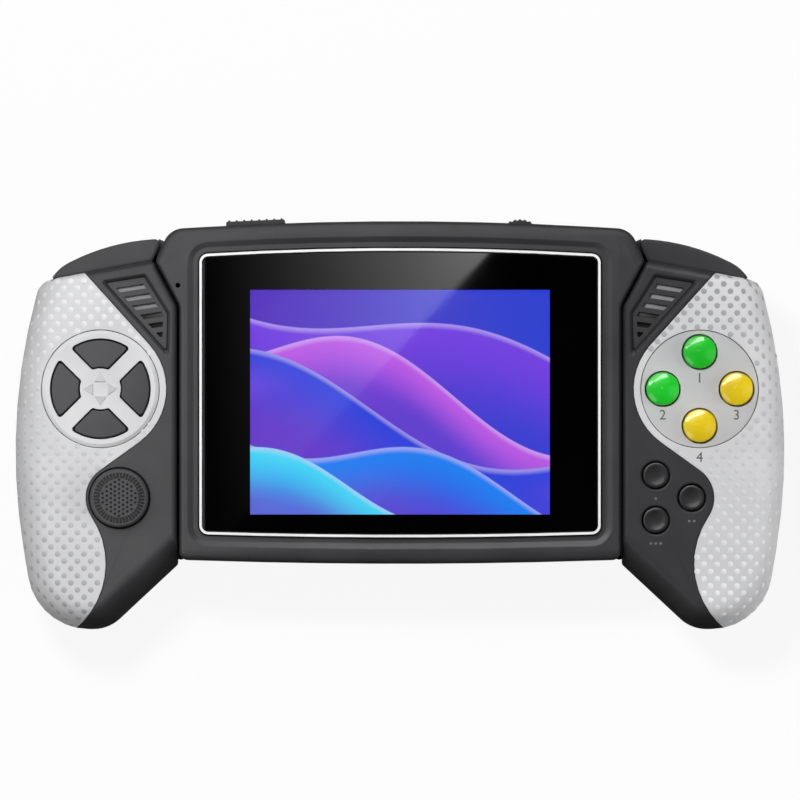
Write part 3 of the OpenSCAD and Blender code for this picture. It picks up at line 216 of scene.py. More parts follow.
materials["steel"] = platedMetal("steel", dict(
    dark=tint(168, 170, 174), light=tint(206, 208, 212), line=0.12, rough=(0.28, 0.42)))
materials["contact"] = platedMetal("contact", dict(
    dark=tint(190, 150, 70), light=tint(224, 188, 104), line=0.12, rough=(0.2, 0.34)))


# Speaker: pale dust cap, darker cone and surround, by distance from either speaker's axis
speakerLook = dict(cap=2.3, cone=4.9, soft=0.2)


def speakerMaterial(name):
    material, tree, out, where = startMaterial(name)
    low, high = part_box("right_speaker")
    parts = addNode(tree, "ShaderNodeSeparateXYZ", Vector=where)
    fromX = calc(tree, "SUBTRACT", calc(tree, "ABSOLUTE", parts.outputs[0]), (low.x + high.x) / 2)
    fromY = calc(tree, "SUBTRACT", parts.outputs[1], (low.y + high.y) / 2)
    squares = calc(tree, "ADD", calc(tree, "MULTIPLY", fromX, fromX), calc(tree, "MULTIPLY", fromY, fromY))
    away = calc(tree, "SQRT", squares)
    weave = noise(tree, where, 0.25 * mm, 2)
    edges = speakerLook["cap"], speakerLook["cone"]
    pastCap, pastCone = [between(tree, away, (edge - speakerLook["soft"]) * mm, edge * mm) for edge in edges]
    colour = blendColour(tree, pastCap, grey(118), grey(64))
    colour = blendColour(tree, pastCone, colour, grey(34))
    colour = blendColour(tree, calc(tree, "MULTIPLY", weave, 0.3), colour, grey(20))
    bsdf = addBsdf(tree, out, Base_Color=colour, Roughness=between(tree, weave, 0.3, 0.7, 0.5, 0.65, "LINEAR"))
    addBump(tree, bsdf, weave, 0.02 * mm)
    return material


materials["speaker_cone"] = speakerMaterial("speaker_cone")


# Board: solder mask with paler copper runs under it
def solderMask(name):
    material, tree, out, where = startMaterial(name)
    runs = addNode(tree, "ShaderNodeTexBrick", {"offset": 0.37}, Vector=where, Scale=400.0,
                   Mortar_Size=0.12, Mortar_Smooth=0.1)
    patch = noise(tree, where, 9 * mm, 2)
    colour = blendColour(tree, runs.outputs["Fac"], tint(28, 92, 48), tint(52, 130, 70))
    colour = blendColour(tree, between(tree, patch, 0.45, 0.6, 0, 0.5), colour, tint(22, 78, 42))
    bsdf = addBsdf(tree, out, Base_Color=colour, Roughness=between(tree, patch, 0.3, 0.7, 0.3, 0.45, "LINEAR"))
    addBump(tree, bsdf, runs.outputs["Fac"], 0.02 * mm)
    return material


materials["board"] = solderMask("board")

# Lens: clear acrylic whose border is printed black from behind
picture = dict(width=70.08 * mm, height=52.56 * mm, middleY=5.1 * mm, edge=0.06 * mm)


def lensMaterial(name):
    material, tree, out, where = startMaterial(name)
    parts = addNode(tree, "ShaderNodeSeparateXYZ", Vector=where)
    fromX = calc(tree, "SUBTRACT", calc(tree, "ABSOLUTE", parts.outputs[0]), picture["width"] / 2)
    fromY = calc(tree, "SUBTRACT", parts.outputs[1], picture["middleY"])
    fromY = calc(tree, "SUBTRACT", calc(tree, "ABSOLUTE", fromY), picture["height"] / 2)
    printed = between(tree, calc(tree, "MAXIMUM", fromX, fromY), -picture["edge"], picture["edge"])
    smear = noise(tree, where, 22 * mm, 3)
    rough = between(tree, smear, 0.3, 0.7, 0.015, 0.03, "LINEAR")
    ink = addNode(tree, "ShaderNodeBsdfPrincipled", Roughness=rough, IOR=1.49)
    plug(tree, ink.inputs["Base Color"], blendColour(tree, smear, grey(1, 1), grey(4, 0)))
    gloss = addNode(tree, "ShaderNodeBsdfGlossy", Roughness=rough)
    gloss.inputs["Color"].default_value = (1, 1, 1, 1)
    through = addNode(tree, "ShaderNodeBsdfTransparent")
    fresnel = addNode(tree, "ShaderNodeFresnel", IOR=1.49)
    # Only the outer face mirrors, so a slanting view still gets through
    front = calc(tree, "SUBTRACT", 1.0, addNode(tree, "ShaderNodeNewGeometry").outputs["Backfacing"])
    clear = addNode(tree, "ShaderNodeMixShader")
    tree.links.new(calc(tree, "MULTIPLY", fresnel.outputs[0], front), clear.inputs[0])
    tree.links.new(through.outputs[0], clear.inputs[1])
    tree.links.new(gloss.outputs[0], clear.inputs[2])
    both = addNode(tree, "ShaderNodeMixShader")
    tree.links.new(printed, both.inputs[0])
    tree.links.new(clear.outputs[0], both.inputs[1])
    tree.links.new(ink.outputs[0], both.inputs[2])
    tree.links.new(both.outputs[0], out.inputs["Surface"])
    return material


materials["lens"] = lensMaterial("lens")

# Lit screen: broad overlapping waves, violet to the left and blue to the right
waves = [  # height, swell, length, phase, softness, colour
    dict(base=0.62, swell=0.22, turn=2.1, phase=0.4, soft=0.9, colour=tint(118, 60, 232)),
    dict(base=0.18, swell=0.3, turn=2.6, phase=2.2, soft=0.5, colour=tint(196, 92, 236)),
    dict(base=-0.12, swell=0.26, turn=2.3, phase=3.6, soft=0.75, colour=tint(40, 66, 226)),
    dict(base=-0.55, swell=0.2, turn=3.0, phase=0.9, soft=0.6, colour=tint(20, 132, 250)),
    dict(base=-0.86, swell=0.16, turn=3.6, phase=4.4, soft=0.5, colour=tint(70, 222, 255)),
]


def screenMaterial(name):
    material, tree, out, where = startMaterial(name)
    parts = addNode(tree, "ShaderNodeSeparateXYZ", Vector=where)
    across = calc(tree, "DIVIDE", parts.outputs[0], picture["width"] / 2)
    up = calc(tree, "DIVIDE", calc(tree, "SUBTRACT", parts.outputs[1], picture["middleY"]), picture["height"] / 2)
    tilted = calc(tree, "ADD", up, calc(tree, "MULTIPLY", across, 0.35))
    colour = blendColour(tree, between(tree, across, -1, 1), tint(84, 44, 196), tint(36, 60, 214))
    for wave in waves:
        angle = calc(tree, "ADD", calc(tree, "MULTIPLY", across, wave["turn"]), wave["phase"])
        crest = calc(tree, "ADD", calc(tree, "MULTIPLY", calc(tree, "SINE", angle), wave["swell"]), wave["base"])
        below = calc(tree, "SUBTRACT", crest, tilted)
        body = calc(tree, "MULTIPLY", between(tree, below, 0, 0.012), between(tree, below, 0, wave["soft"], 1, 0.12))
        colour = blendColour(tree, body, colour, wave["colour"])
        line = calc(tree, "MULTIPLY", between(tree, below, 0, 0.012), between(tree, below, 0.01, 0.07, 1, 0))
        colour = blendColour(tree, calc(tree, "MULTIPLY", line, 0.45), colour, tint(222, 204, 255))
    cells = addNode(tree, "ShaderNodeTexBrick", {"offset": 0.0}, Vector=where, Scale=1 / (0.66 * mm), Mortar_Size=0.02)
    colour = blendColour(tree, calc(tree, "MULTIPLY", cells.outputs["Fac"], 0.1), colour, grey(20, 40))
    bsdf = addBsdf(tree, out, Roughness=0.25)
    bsdf.inputs["Base Color"].default_value = grey(10, 6)
    tree.links.new(colour, bsdf.inputs["Emission Color"])
    bsdf.inputs["Emission Strength"].default_value = 0.95
    return material


materials["screen_glass"] = screenMaterial("screen_glass")
print("materials made:", len(materials))


# Copies of frame nodes, merged, with crisp or rolled edges and even shading
def mergedCopy(name, whole=True):
    bm = bmesh.new()
    bm.from_mesh(cadNodes[name].data)
    bmesh.ops.remove_doubles(bm, verts=bm.verts, dist=0.002 * mm)
    if whole:
        bmesh.ops.dissolve_limit(bm, angle_limit=math.radians(0.4), verts=bm.verts, edges=bm.edges)
    return bm


def finishPiece(bm, name, slot, body, replaced=(), look=None, sharp=32, roll=0.0, rollSteps=2, even=True):
    for face in bm.faces:
        face.smooth = True
    for edge in bm.edges:
        edge.smooth = len(edge.link_faces) == 2 and edge.calc_face_angle(0) < math.radians(sharp)
    mesh = bpy.data.meshes.new(name)
    bm.to_mesh(mesh)
    bm.free()
    piece = bpy.data.objects.new(name, mesh)
    bpy.context.scene.collection.objects.link(piece)
    mesh.materials.append(materials[look or slot])
    if roll:
        bevel = piece.modifiers.new("edges", "BEVEL")
        bevel.width = roll * mm
        bevel.segments = rollSteps
        bevel.limit_method = "ANGLE"
        bevel.angle_limit = math.radians(sharp)
        bevel.use_clamp_overlap = False
        bevel.miter_outer = "MITER_ARC"
    if even:
        weighted = piece.modifiers.new("even", "WEIGHTED_NORMAL")
        weighted.keep_sharp = True
        weighted.weight = 80
    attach(piece, body)
    if replaced:
        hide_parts(*replaced)
    return piece


dressed = {  # node: slot, edge roll in mm, own look where the slot's isn't used
    "centre_front_shell": ("shell", 0.12), "centre_rear_shell": ("shell", 0.12),
    "left_grip_rear": ("shell", 0.1), "right_grip_rear": ("shell", 0.1),
    "left_grip_panel": ("panel", 0), "right_grip_panel": ("panel", 0),
    "dpad_plate": ("plate", 0.06, "plate", 20), "button_plate": ("plate", 0.12),
    "left_grille": ("shell", 0), "right_grille": ("shell", 0),
    "lens_trim": ("trim", 0.12), "battery_door": ("shell", 0),
    "volume_wheel": ("control", 0),
    "left_shoulder_button": ("shell", 0, "shoulder", 32), "right_shoulder_button": ("shell", 0, "shoulder", 32),
    "dpad_up_key": ("key_plastic", 0.25), "dpad_down_key": ("key_plastic", 0.25),
    "dpad_left_key": ("key_plastic", 0.25), "dpad_right_key": ("key_plastic", 0.25),
    "face_button_top": ("green_button", 0.3), "face_button_left": ("green_button", 0.3),
    "face_button_right": ("yellow_button", 0.3), "face_button_bottom": ("yellow_button", 0.3),
    "usb_port": ("steel", 0.08), "av_jack": ("speaker", 0.1), "lens": ("lens", 0.0),
}
for name, (slot, roll, *more) in dressed.items():
    look, sharp = more or (slot, 32)
    finishPiece(mergedCopy(name, roll > 0), name + "_dressed", slot, bodyOf[name], (name,), look=look, sharp=sharp,
                roll=roll, rollSteps=3 if roll > 0.2 else 2)
print("dressed copies:", len(dressed))

# Grip fronts: the rim of the grille's pocket is chamfered
pocketLook = dict(chamfer=0.42, reach=2.6, keep=54.9)


def addGripFront(side):
    node = side + "_grip_front"
    bm = mergedCopy(node)
    low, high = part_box(side + "_grille")
    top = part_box(node)[1].z
    margin = pocketLook["reach"] * mm
    rim = []
    for edge in bm.edges:
        level = all(abs(v.co.z - top) < 0.02 * mm for v in edge.verts)
        near = all(low.x - margin < v.co.x < high.x + margin for v in edge.verts)
        near = near and all(low.y - margin < v.co.y < high.y + margin for v in edge.verts)
        if not (level and near) or any(abs(v.co.x) < pocketLook["keep"] * mm for v in edge.verts):
            continue
        walls = [f for f in edge.link_faces if abs(f.normal.z) < 0.3]
        middle = (edge.verts[0].co + edge.verts[1].co) / 2
        if len(walls) == 1 and walls[0].normal.dot((low + high) / 2 - middle) > 0:
            rim.append(edge)
    bmesh.ops.bevel(bm, geom=rim, offset=pocketLook["chamfer"] * mm, offset_type="OFFSET", segments=1,
                    affect="EDGES", clamp_overlap=False)
    print(side, "pocket rim edges:", len(rim))
    finishPiece(bm, node + "_dressed", "shell", bodyOf[node], (node,), look="grip", roll=0.1)


for side in ("left", "right"):
    addGripFront(side)

# Menu buttons: dished caps, as height against distance from the middle
dish = [(0.0, 34.62), (0.5, 34.64), (0.95, 34.69), (1.35, 34.77),
        (1.75, 34.89), (2.15, 35.05), (2.55, 35.2), (2.9, 34.95)]
capFrom = 34.4


def dishHeight(away):
    for (r0, z0), (r1, z1) in zip(dish, dish[1:]):
        if away <= r1:
            return z0 + (z1 - z0) * (away - r0) / (r1 - r0)
    return dish[-1][1]


for node in ("menu_button_upper", "menu_button_side", "menu_button_lower"):
    bm = mergedCopy(node, False)
    low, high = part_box(node)
    middle = (low + high) / 2
    for v in bm.verts:
        if v.co.z > capFrom * mm:
            v.co.z = dishHeight((v.co.xy - middle.xy).length / mm) * mm
    finishPiece(bm, node + "_dressed", "control", bodyOf[node], (node,), sharp=45)
print("grip fronts and menu buttons made")

# Nodes whose own solid shows as it is, or that stay inside
plainSlots = {
    "lcd_frame": "steel", "lcd_glass": "screen_glass", "lcd_ribbon": "ribbon", "main_board": "board",
    "left_key_board": "board", "right_key_board": "board", "left_ribbon": "ribbon", "right_ribbon": "ribbon",
    "battery": "pouch", "battery_contacts": "contact", "left_speaker": "speaker_cone", "right_speaker": "speaker_cone",
    "dpad_rubber": "rubber", "face_rubber": "rubber", "menu_rubber": "rubber", "stick_stem": "key_plastic",
    "stick_slider": "speaker", "stick_base": "speaker", "power_switch": "steel", "volume_pot": "speaker",
    "left_shoulder_switch": "steel", "right_shoulder_switch": "steel", "indicator_lens": "clear_pipe",
    "board_screws": "steel",
}
for name, slot in plainSlots.items():
    mesh = cadNodes[name].data
    mesh.materials.clear()
    mesh.materials.append(materials[slot])

# Grip texture: rows of small domes that follow the panel round its side
gripDots = dict(step=3.1, row=1.68, radius=0.72, height=0.26, sides=12, firstX=52.0, roundX=83.25, roundZ=21.0,
                stride=0.1, steep=0.15, edgeOn=0.08, opening=1.5, sunk=0.015, flatShare=0.55, sideShare=1.5,
                clearX=70.0, clearY=-7.3, clear=2.3, neck=57.0)
rowStarts = {"left": (-78.5, 31.75), "right": (75.7, 32.7)}


def makeDot():
    bm = bmesh.new()
    radius, height = gripDots["radius"] * mm, gripDots["height"] * mm
    ring = bmesh.ops.create_circle(bm, cap_ends=False, radius=radius, segments=gripDots["sides"])["verts"]
    for share in (0.85, 0.6, 0.3):
        edges = [e for e in bm.edges if e.verts[0] in ring and e.verts[1] in ring]
        made = bmesh.ops.extrude_edge_only(bm, edges=edges)["geom"]
        ring = [v for v in made if isinstance(v, bmesh.types.BMVert)]
        rise = height * (1 - share * share)
        for v in ring:
            v.co = Vector((v.co.x, v.co.y, 0)).normalized() * radius * share + Vector((0, 0, rise))
    top = bmesh.ops.contextual_create(bm, geom=ring)["faces"]
    bmesh.ops.translate(bm, verts=bmesh.ops.poke(bm, faces=top)["verts"], vec=(0, 0, 0.09 * height))
    bmesh.ops.recalc_face_normals(bm, faces=bm.faces)
    mesh = bpy.data.meshes.new("dot")
    bm.to_mesh(mesh)
    bm.free()
    return mesh


# Outline of one row: down onto the flat front, then round the side
def rowPoints(tree, side, y):
    sign = -1 if side == "left" else 1
    found = []
    x = gripDots["firstX"]
    while x < gripDots["roundX"]:
        found.append(tree.ray_cast(Vector((sign * x, y, 60)) * mm, Vector((0, 0, -1))))
        x += gripDots["stride"]
    pivot = Vector((sign * gripDots["roundX"], y, gripDots["roundZ"])) * mm
    for i in range(91):
        turn = math.radians(90 - i)
        out = Vector((sign * math.cos(turn), 0, math.sin(turn)))
        found.append(tree.ray_cast(pivot + out * 40 * mm, -out))
    return [(spot, normal) for spot, normal, face, far in found if spot]


def onPanel(tree, spot, normal):
    aside = normal.orthogonal().normalized()
    for i in range(6):
        reach = Matrix.Rotation(math.radians(60 * i), 3, normal) @ aside * gripDots["radius"] * 0.7 * mm
        hit = tree.ray_cast(spot + reach + normal * 2 * mm, -normal, 4 * mm)
        if hit[0] is None or abs(hit[3] - 2 * mm) > 0.25 * mm:
            return False
    return True


def addDots(side):
    node = side + "_grip_panel"
    bm = mergedCopy(node, False)
    tree = BVHTree.FromBMesh(bm)
    bm.free()
    dot = makeDot()
    joined = bmesh.new()
    startX, startY = rowStarts[side]
    low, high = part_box(node)
    count = 0
    for row in range(-8, 60):
        y = startY - row * gripDots["row"]
        if not low.y / mm < y < high.y / mm:
            continue
        points = rowPoints(tree, side, y)
        if not points:
            continue
        shift = gripDots["step"] / 2 if row % 2 else 0
        along = abs(points[0][0].x) / mm - abs(startX) - shift
        step = math.ceil(along / gripDots["step"]) * gripDots["step"]
        for (before, _), (after, facing) in zip(points, points[1:]):
            flat = facing.z > gripDots["steep"]
            length = (abs(after.x - before.x) if flat else (after - before).length) / mm
            if (after - before).length > gripDots["opening"] * mm:
                along = abs(after.x) / mm - abs(startX) - shift
                step = math.ceil(along / gripDots["step"]) * gripDots["step"]
                continue
            while along + length >= step:
                spot = before.lerp(after, (step - along) / length if length else 0)
                # Kept bare: a patch for a number, and the narrow neck beside the round plate
                aside = math.hypot(spot.x / mm - gripDots["clearX"], spot.y / mm - gripDots["clearY"])
                bare = aside < gripDots["clear"] or abs(spot.x) < gripDots["neck"] * mm
                if facing.z > gripDots["edgeOn"] and not bare and onPanel(tree, spot, facing):
                    rise = gripDots["flatShare"] + (gripDots["sideShare"] - gripDots["flatShare"]) * (1 - facing.z) ** 2
                    first = len(joined.verts)
                    joined.from_mesh(dot)
                    joined.verts.ensure_lookup_table()
                    turn = facing.to_track_quat("Z", "Y").to_matrix().to_4x4()
                    place = Matrix.Translation(spot - facing * gripDots["sunk"] * mm) @ turn
                    place = place @ Matrix.Diagonal((1, 1, rise, 1))
                    bmesh.ops.transform(joined, matrix=place, verts=joined.verts[first:])
                    count += 1
                step += gripDots["step"]
            along += length
    bpy.data.meshes.remove(dot)
    # The dots' looks carry painted light and shade along the panel
    finishPiece(joined, side + "_panel_dots", "panel", bodyOf[node], look="dot_" + side, sharp=80, even=False)
    print(side, "panel dots:", count)


for side in ("left", "right"):
    addDots(side)

# Gaskets: black strips in the grooves between the centre and the grips, grown from the centre's side walls; their black
# is painted shade for the grooves, and they also close the gaps
shadeGasketLook = dict(reach=51.3, top=dict(left=30.5, right=34.0), low=17.0, high=38.0, thick=0.42,
                  beads=[(57.8, 38.6, 1.3, 21.0), (51.3, -30.55, 1.25, 30.0)])


def addShadeGasket(side):
    sign = -1 if side == "left" else 1
    bm = bmesh.new()
    for node in ("centre_front_shell", "centre_rear_shell"):
        bm.from_mesh(cadNodes[node].data)
    bmesh.ops.remove_doubles(bm, verts=bm.verts, dist=0.002 * mm)
    away = []
    for face in bm.faces:
        spot = face.calc_center_median()
        outside = spot.x * sign > shadeGasketLook["reach"] * mm
        if not (outside and face.normal.x * sign > 0.6 and abs(face.normal.z) < 0.3):
            away.append(face)
    bmesh.ops.delete(bm, geom=away, context="FACES")
    cuts = [((0, 0, shadeGasketLook["top"][side]), (0, 0, 1)), ((0, 0, shadeGasketLook["low"]), (0, 0, -1)),
            ((0, shadeGasketLook["high"], 0), (0, 1, 0))]
    for spot, facing in cuts:
        bmesh.ops.bisect_plane(bm, geom=bm.verts[:] + bm.edges[:] + bm.faces[:], dist=0.001 * mm,
                               plane_co=Vector(spot) * mm, plane_no=facing, clear_outer=True)
    bmesh.ops.solidify(bm, geom=bm.faces[:], thickness=-shadeGasketLook["thick"] * mm)
    for x, y, radius, top in shadeGasketLook["beads"]:
        bead = bmesh.ops.create_cone(bm, cap_ends=True, segments=16, radius1=radius * mm, radius2=radius * mm,
                                     depth=(top - shadeGasketLook["low"]) * mm)["verts"]
        bmesh.ops.translate(bm, verts=bead, vec=Vector((sign * x, y, (top + shadeGasketLook["low"]) / 2)) * mm)
    bmesh.ops.recalc_face_normals(bm, faces=bm.faces)
    # Painted shade: the black look makes the seam grooves read dark
    finishPiece(bm, side + "_shade_gasket", "speaker", "case", look="shade_black_rubber", even=False)


for side in ("left", "right"):
    addShadeGasket(side)

# Lens seal: thin black beads along both walls of the white trim, whose black is painted shade for the dark gaps on
# either side of it
shadeSealLook = dict(out=0.34, lap=0.1, lift=0.03, low=34.9)


def addShadeSeal():
    joined = bmesh.new()
    middle = (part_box("lens_trim")[0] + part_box("lens_trim")[1]) / 2
    for outward in (1, -1):
        bm = mergedCopy("lens_trim", False)
        away = []
        for face in bm.faces:
            spot = face.calc_center_median() - middle
            if abs(face.normal.z) > 0.3 or face.normal.dot(Vector((spot.x, spot.y, 0))) * outward < 0:
                away.append(face)
        bmesh.ops.delete(bm, geom=away, context="FACES")
        bmesh.ops.bisect_plane(bm, geom=bm.verts[:] + bm.edges[:] + bm.faces[:], dist=0.001 * mm,
                               plane_co=Vector((0, 0, shadeSealLook["low"])) * mm, plane_no=(0, 0, -1), clear_outer=True)
        bm.normal_update()
        for v in bm.verts:
            v.co += Vector((0, 0, shadeSealLook["lift"])) * mm - v.normal * shadeSealLook["lap"] * mm
        bmesh.ops.solidify(bm, geom=bm.faces[:], thickness=-shadeSealLook["out"] * mm)
        mesh = bpy.data.meshes.new("seal")
        bm.to_mesh(mesh)
        bm.free()
        joined.from_mesh(mesh)
        bpy.data.meshes.remove(mesh)
    bmesh.ops.recalc_face_normals(joined, faces=joined.faces)
    # Painted shade: black beads for the trim's dark gaps
    finishPiece(joined, "lens_shade_seal", "speaker", "case", look="shade_black_rubber", even=False)


addShadeSeal()

# Dust cloth behind each grille, as wide as the grille itself; paler towards its top as painted light, where light falls
# into the upper slots
clothLook = dict(drop=0.25, thick=0.15, pale=grey(150), dim=grey(22, 1), fromY=24.4, toY=28.0)


def clothMaterial(name):
    material, tree, out, where = startMaterial(name)
    height = addNode(tree, "ShaderNodeSeparateXYZ", Vector=where).outputs[1]
    weave = noise(tree, where, 0.12 * mm, 2, 0.6)
    # Painted light: the cloth turns pale towards its top along Y
    upper = between(tree, height, clothLook["fromY"] * mm, clothLook["toY"] * mm)
    colour = blendColour(tree, upper, clothLook["dim"], clothLook["pale"])
    colour = blendColour(tree, calc(tree, "MULTIPLY", weave, 0.25), colour, clothLook["dim"])
    bsdf = addBsdf(tree, out, Base_Color=colour, Roughness=between(tree, weave, 0.3, 0.7, 0.7, 0.85, "LINEAR"))
    addBump(tree, bsdf, weave, 0.03 * mm)
    return material


materials["cloth"] = clothMaterial("cloth")


def addCloth(side):
    node = side + "_grille"
    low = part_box(node)[0]
    bm = mergedCopy(node, False)
    for v in bm.verts:
        v.co.z = low.z - clothLook["drop"] * mm
    bmesh.ops.remove_doubles(bm, verts=bm.verts, dist=0.01 * mm)
    hull = bmesh.ops.convex_hull(bm, input=bm.verts[:])
    bmesh.ops.delete(bm, geom=hull["geom_interior"] + hull["geom_unused"], context="VERTS")
    bmesh.ops.delete(bm, geom=[f for f in bm.faces if f.normal.z < 0], context="FACES")
    bmesh.ops.solidify(bm, geom=bm.faces[:], thickness=clothLook["thick"] * mm)
    finishPiece(bm, side + "_dust_cloth", "speaker", "case", look="cloth", even=False)


for side in ("left", "right"):
    addCloth(side)

# Stick cap: a spun crown with a smooth rim, a ring of short grooves and small pits inside it
stickLook = dict(crown=40.0, rim=0.9, ring=0.09, steps=288, pitch=1.055, column=0.96, pitRadius=0.27, pitReach=4.3,
                 grooves=44, grooveFrom=4.62, grooveTo=5.9, grooveWidth=0.4, depth=0.45, roll=0.8, foot=0.6,
                 well=7.3, wellWide=1.2, wellRound=0.2, wellTop=34.56)


def pitDepth(x, y):
    look = stickLook
    away = math.hypot(x, y)
    if look["grooveFrom"] < away < look["grooveTo"]:
        turn = math.degrees(math.atan2(y, x)) % (360 / look["grooves"]) - 180 / look["grooves"]
        side = abs(math.radians(turn)) * away
        return look["depth"] if side < look["grooveWidth"] / 2 else 0.0
    nearest = look["pitch"]
    column = round(x / look["column"])
    for i in (column - 1, column, column + 1):
        half = look["pitch"] / 2 if i % 2 else 0.0
        row = round((y - half) / look["pitch"]) * look["pitch"] + half
        if math.hypot(i * look["column"], row) < look["pitReach"]:
            nearest = min(nearest, math.hypot(x - i * look["column"], y - row))
    return look["depth"] * max(0.0, min(1.0, 2.2 - 2.2 * nearest / look["pitRadius"]))


def addStickCap():
    low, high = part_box("stick_cap")
    middle = (low + high) / 2
    radius, thick, look = (high.x - low.x) / 2 / mm, (high.z - low.z) / mm, stickLook
    bm = bmesh.new()
    profile = []
    for i in range(int((radius - look["rim"]) / look["ring"]) + 1):
        away = i * look["ring"]
        profile.append((away, thick - look["crown"] + math.sqrt(look["crown"] ** 2 - away ** 2)))
    edgeX, edgeZ = profile[-1]
    across, down, foot = radius - edgeX, look["roll"], look["foot"]
    for i in range(1, 9):
        turn = math.radians(90 - i * 90 / 8)
        profile.append((edgeX + across * math.cos(turn), edgeZ - down + down * math.sin(turn)))
    profile += [(radius, foot), (radius - foot, 0.0), (0.0, 0.0)]
    line = [bm.verts.new((x * mm, 0, z * mm)) for x, z in profile]
    edges = [bm.edges.new(pair) for pair in zip(line, line[1:])]
    bmesh.ops.spin(bm, geom=line + edges, axis=(0, 0, 1), cent=(0, 0, 0), angle=math.tau, steps=look["steps"],
                   use_merge=True)
    bmesh.ops.remove_doubles(bm, verts=bm.verts, dist=0.0005 * mm)
    bmesh.ops.recalc_face_normals(bm, faces=bm.faces)
    # Each top vertex stores its share of the full pit depth; the stick look darkens by it as painted shade
    layer = bm.verts.layers.float.new("pit_shade")
    for v in bm.verts:
        if v.co.z > 0.7 * thick * mm:
            depth = pitDepth(v.co.x / mm, v.co.y / mm)
            v[layer] = depth / look["depth"]
            v.co.z -= depth * mm
    bmesh.ops.translate(bm, verts=bm.verts, vec=(middle.x, middle.y, low.z))
    finishPiece(bm, "stick_cap_dressed", "key_plastic", bodyOf["stick_cap"], ("stick_cap",), look="stick",
                sharp=70, even=False)


# Black ring on the grip front under the rim of the cap: painted shadow standing in for the cap's shadow and the dark
# gap round it
def addStickShadowRing():
    low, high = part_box("stick_cap")
    middle = (low + high) / 2
    bm = bmesh.new()
    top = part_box("left_grip_front")[1].z
    outer, inner = stickLook["well"] * mm, (stickLook["well"] - stickLook["wellWide"]) * mm
    thick, turned = stickLook["wellTop"] * mm - top, stickLook["wellRound"] * mm
    spots = ((inner, -thick), (inner, thick * 0.7), (inner + turned, thick),
             (outer - turned, thick), (outer, thick * 0.7), (outer, -thick))
    line = [bm.verts.new((x, 0, z)) for x, z in spots]
    edges = [bm.edges.new(pair) for pair in zip(line, line[1:])]
    bmesh.ops.spin(bm, geom=line + edges, axis=(0, 0, 1), cent=(0, 0, 0), angle=math.tau, steps=72, use_merge=True)
    bmesh.ops.remove_doubles(bm, verts=bm.verts, dist=0.0005 * mm)
    bmesh.ops.recalc_face_normals(bm, faces=bm.faces)
    bmesh.ops.translate(bm, verts=bm.verts, vec=(middle.x, middle.y, top))
    finishPiece(bm, "stick_shadow_ring", "speaker", "case", look="shade_black_rubber", even=False)


addStickCap()
addStickShadowRing()

# Direction marks: low wedges on the hub that slope away from its middle
hubMarks = dict(base=2.75, length=2.3, inner=1.75, rise=0.5, tip=0.03, sunk=0.05)


def addHubMarks():
    low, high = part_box("dpad_plate")
    middle = (low + high) / 2
    bm = bmesh.new()
    for turn in range(0, 360, 90):
        first = len(bm.verts)
        face = bmesh.ops.create_circle(bm, cap_ends=True, radius=1.0, segments=3)["verts"][0].link_faces[0]
        made = bmesh.ops.extrude_face_region(bm, geom=[face])["geom"]
        lifted = [v for v in made if isinstance(v, bmesh.types.BMVert)]
        bm.verts.ensure_lookup_table()
        mark = bm.verts[first:]
        tip = max(v.co.y for v in mark)
        for v in mark:
            top = v in lifted
            at = v.co.y > tip - 0.01
            side = 0.0 if at else math.copysign(hubMarks["base"] / 2, v.co.x)
            away = hubMarks["inner"] + (hubMarks["length"] if at else 0.0)
            height = hubMarks["tip"] if at else hubMarks["rise"]
            v.co = Vector((side, away, height if top else -hubMarks["sunk"])) * mm
        bmesh.ops.rotate(bm, verts=mark, cent=(0, 0, 0), matrix=Matrix.Rotation(math.radians(turn), 3, "Z"))
    bmesh.ops.recalc_face_normals(bm, faces=bm.faces)
    bmesh.ops.translate(bm, verts=bm.verts, vec=(middle.x, middle.y, high.z))
    finishPiece(bm, "dpad_marks", "plate", "case", look="mark")


addHubMarks()

# Power knob: small ribs stand on a bar with round ends, and the bar comes down to the shell
knobLook = dict(rise=1.25, foot=0.02, corner=0.45, ribs=8, pitch=1.75, ribHalf=0.25, ribRise=0.3)


def arc(x, y, wide, tall, start, end, steps):
    turns = [math.radians(start + (end - start) * i / steps) for i in range(steps + 1)]
    return [(x + wide * math.cos(turn), y + tall * math.sin(turn)) for turn in turns]


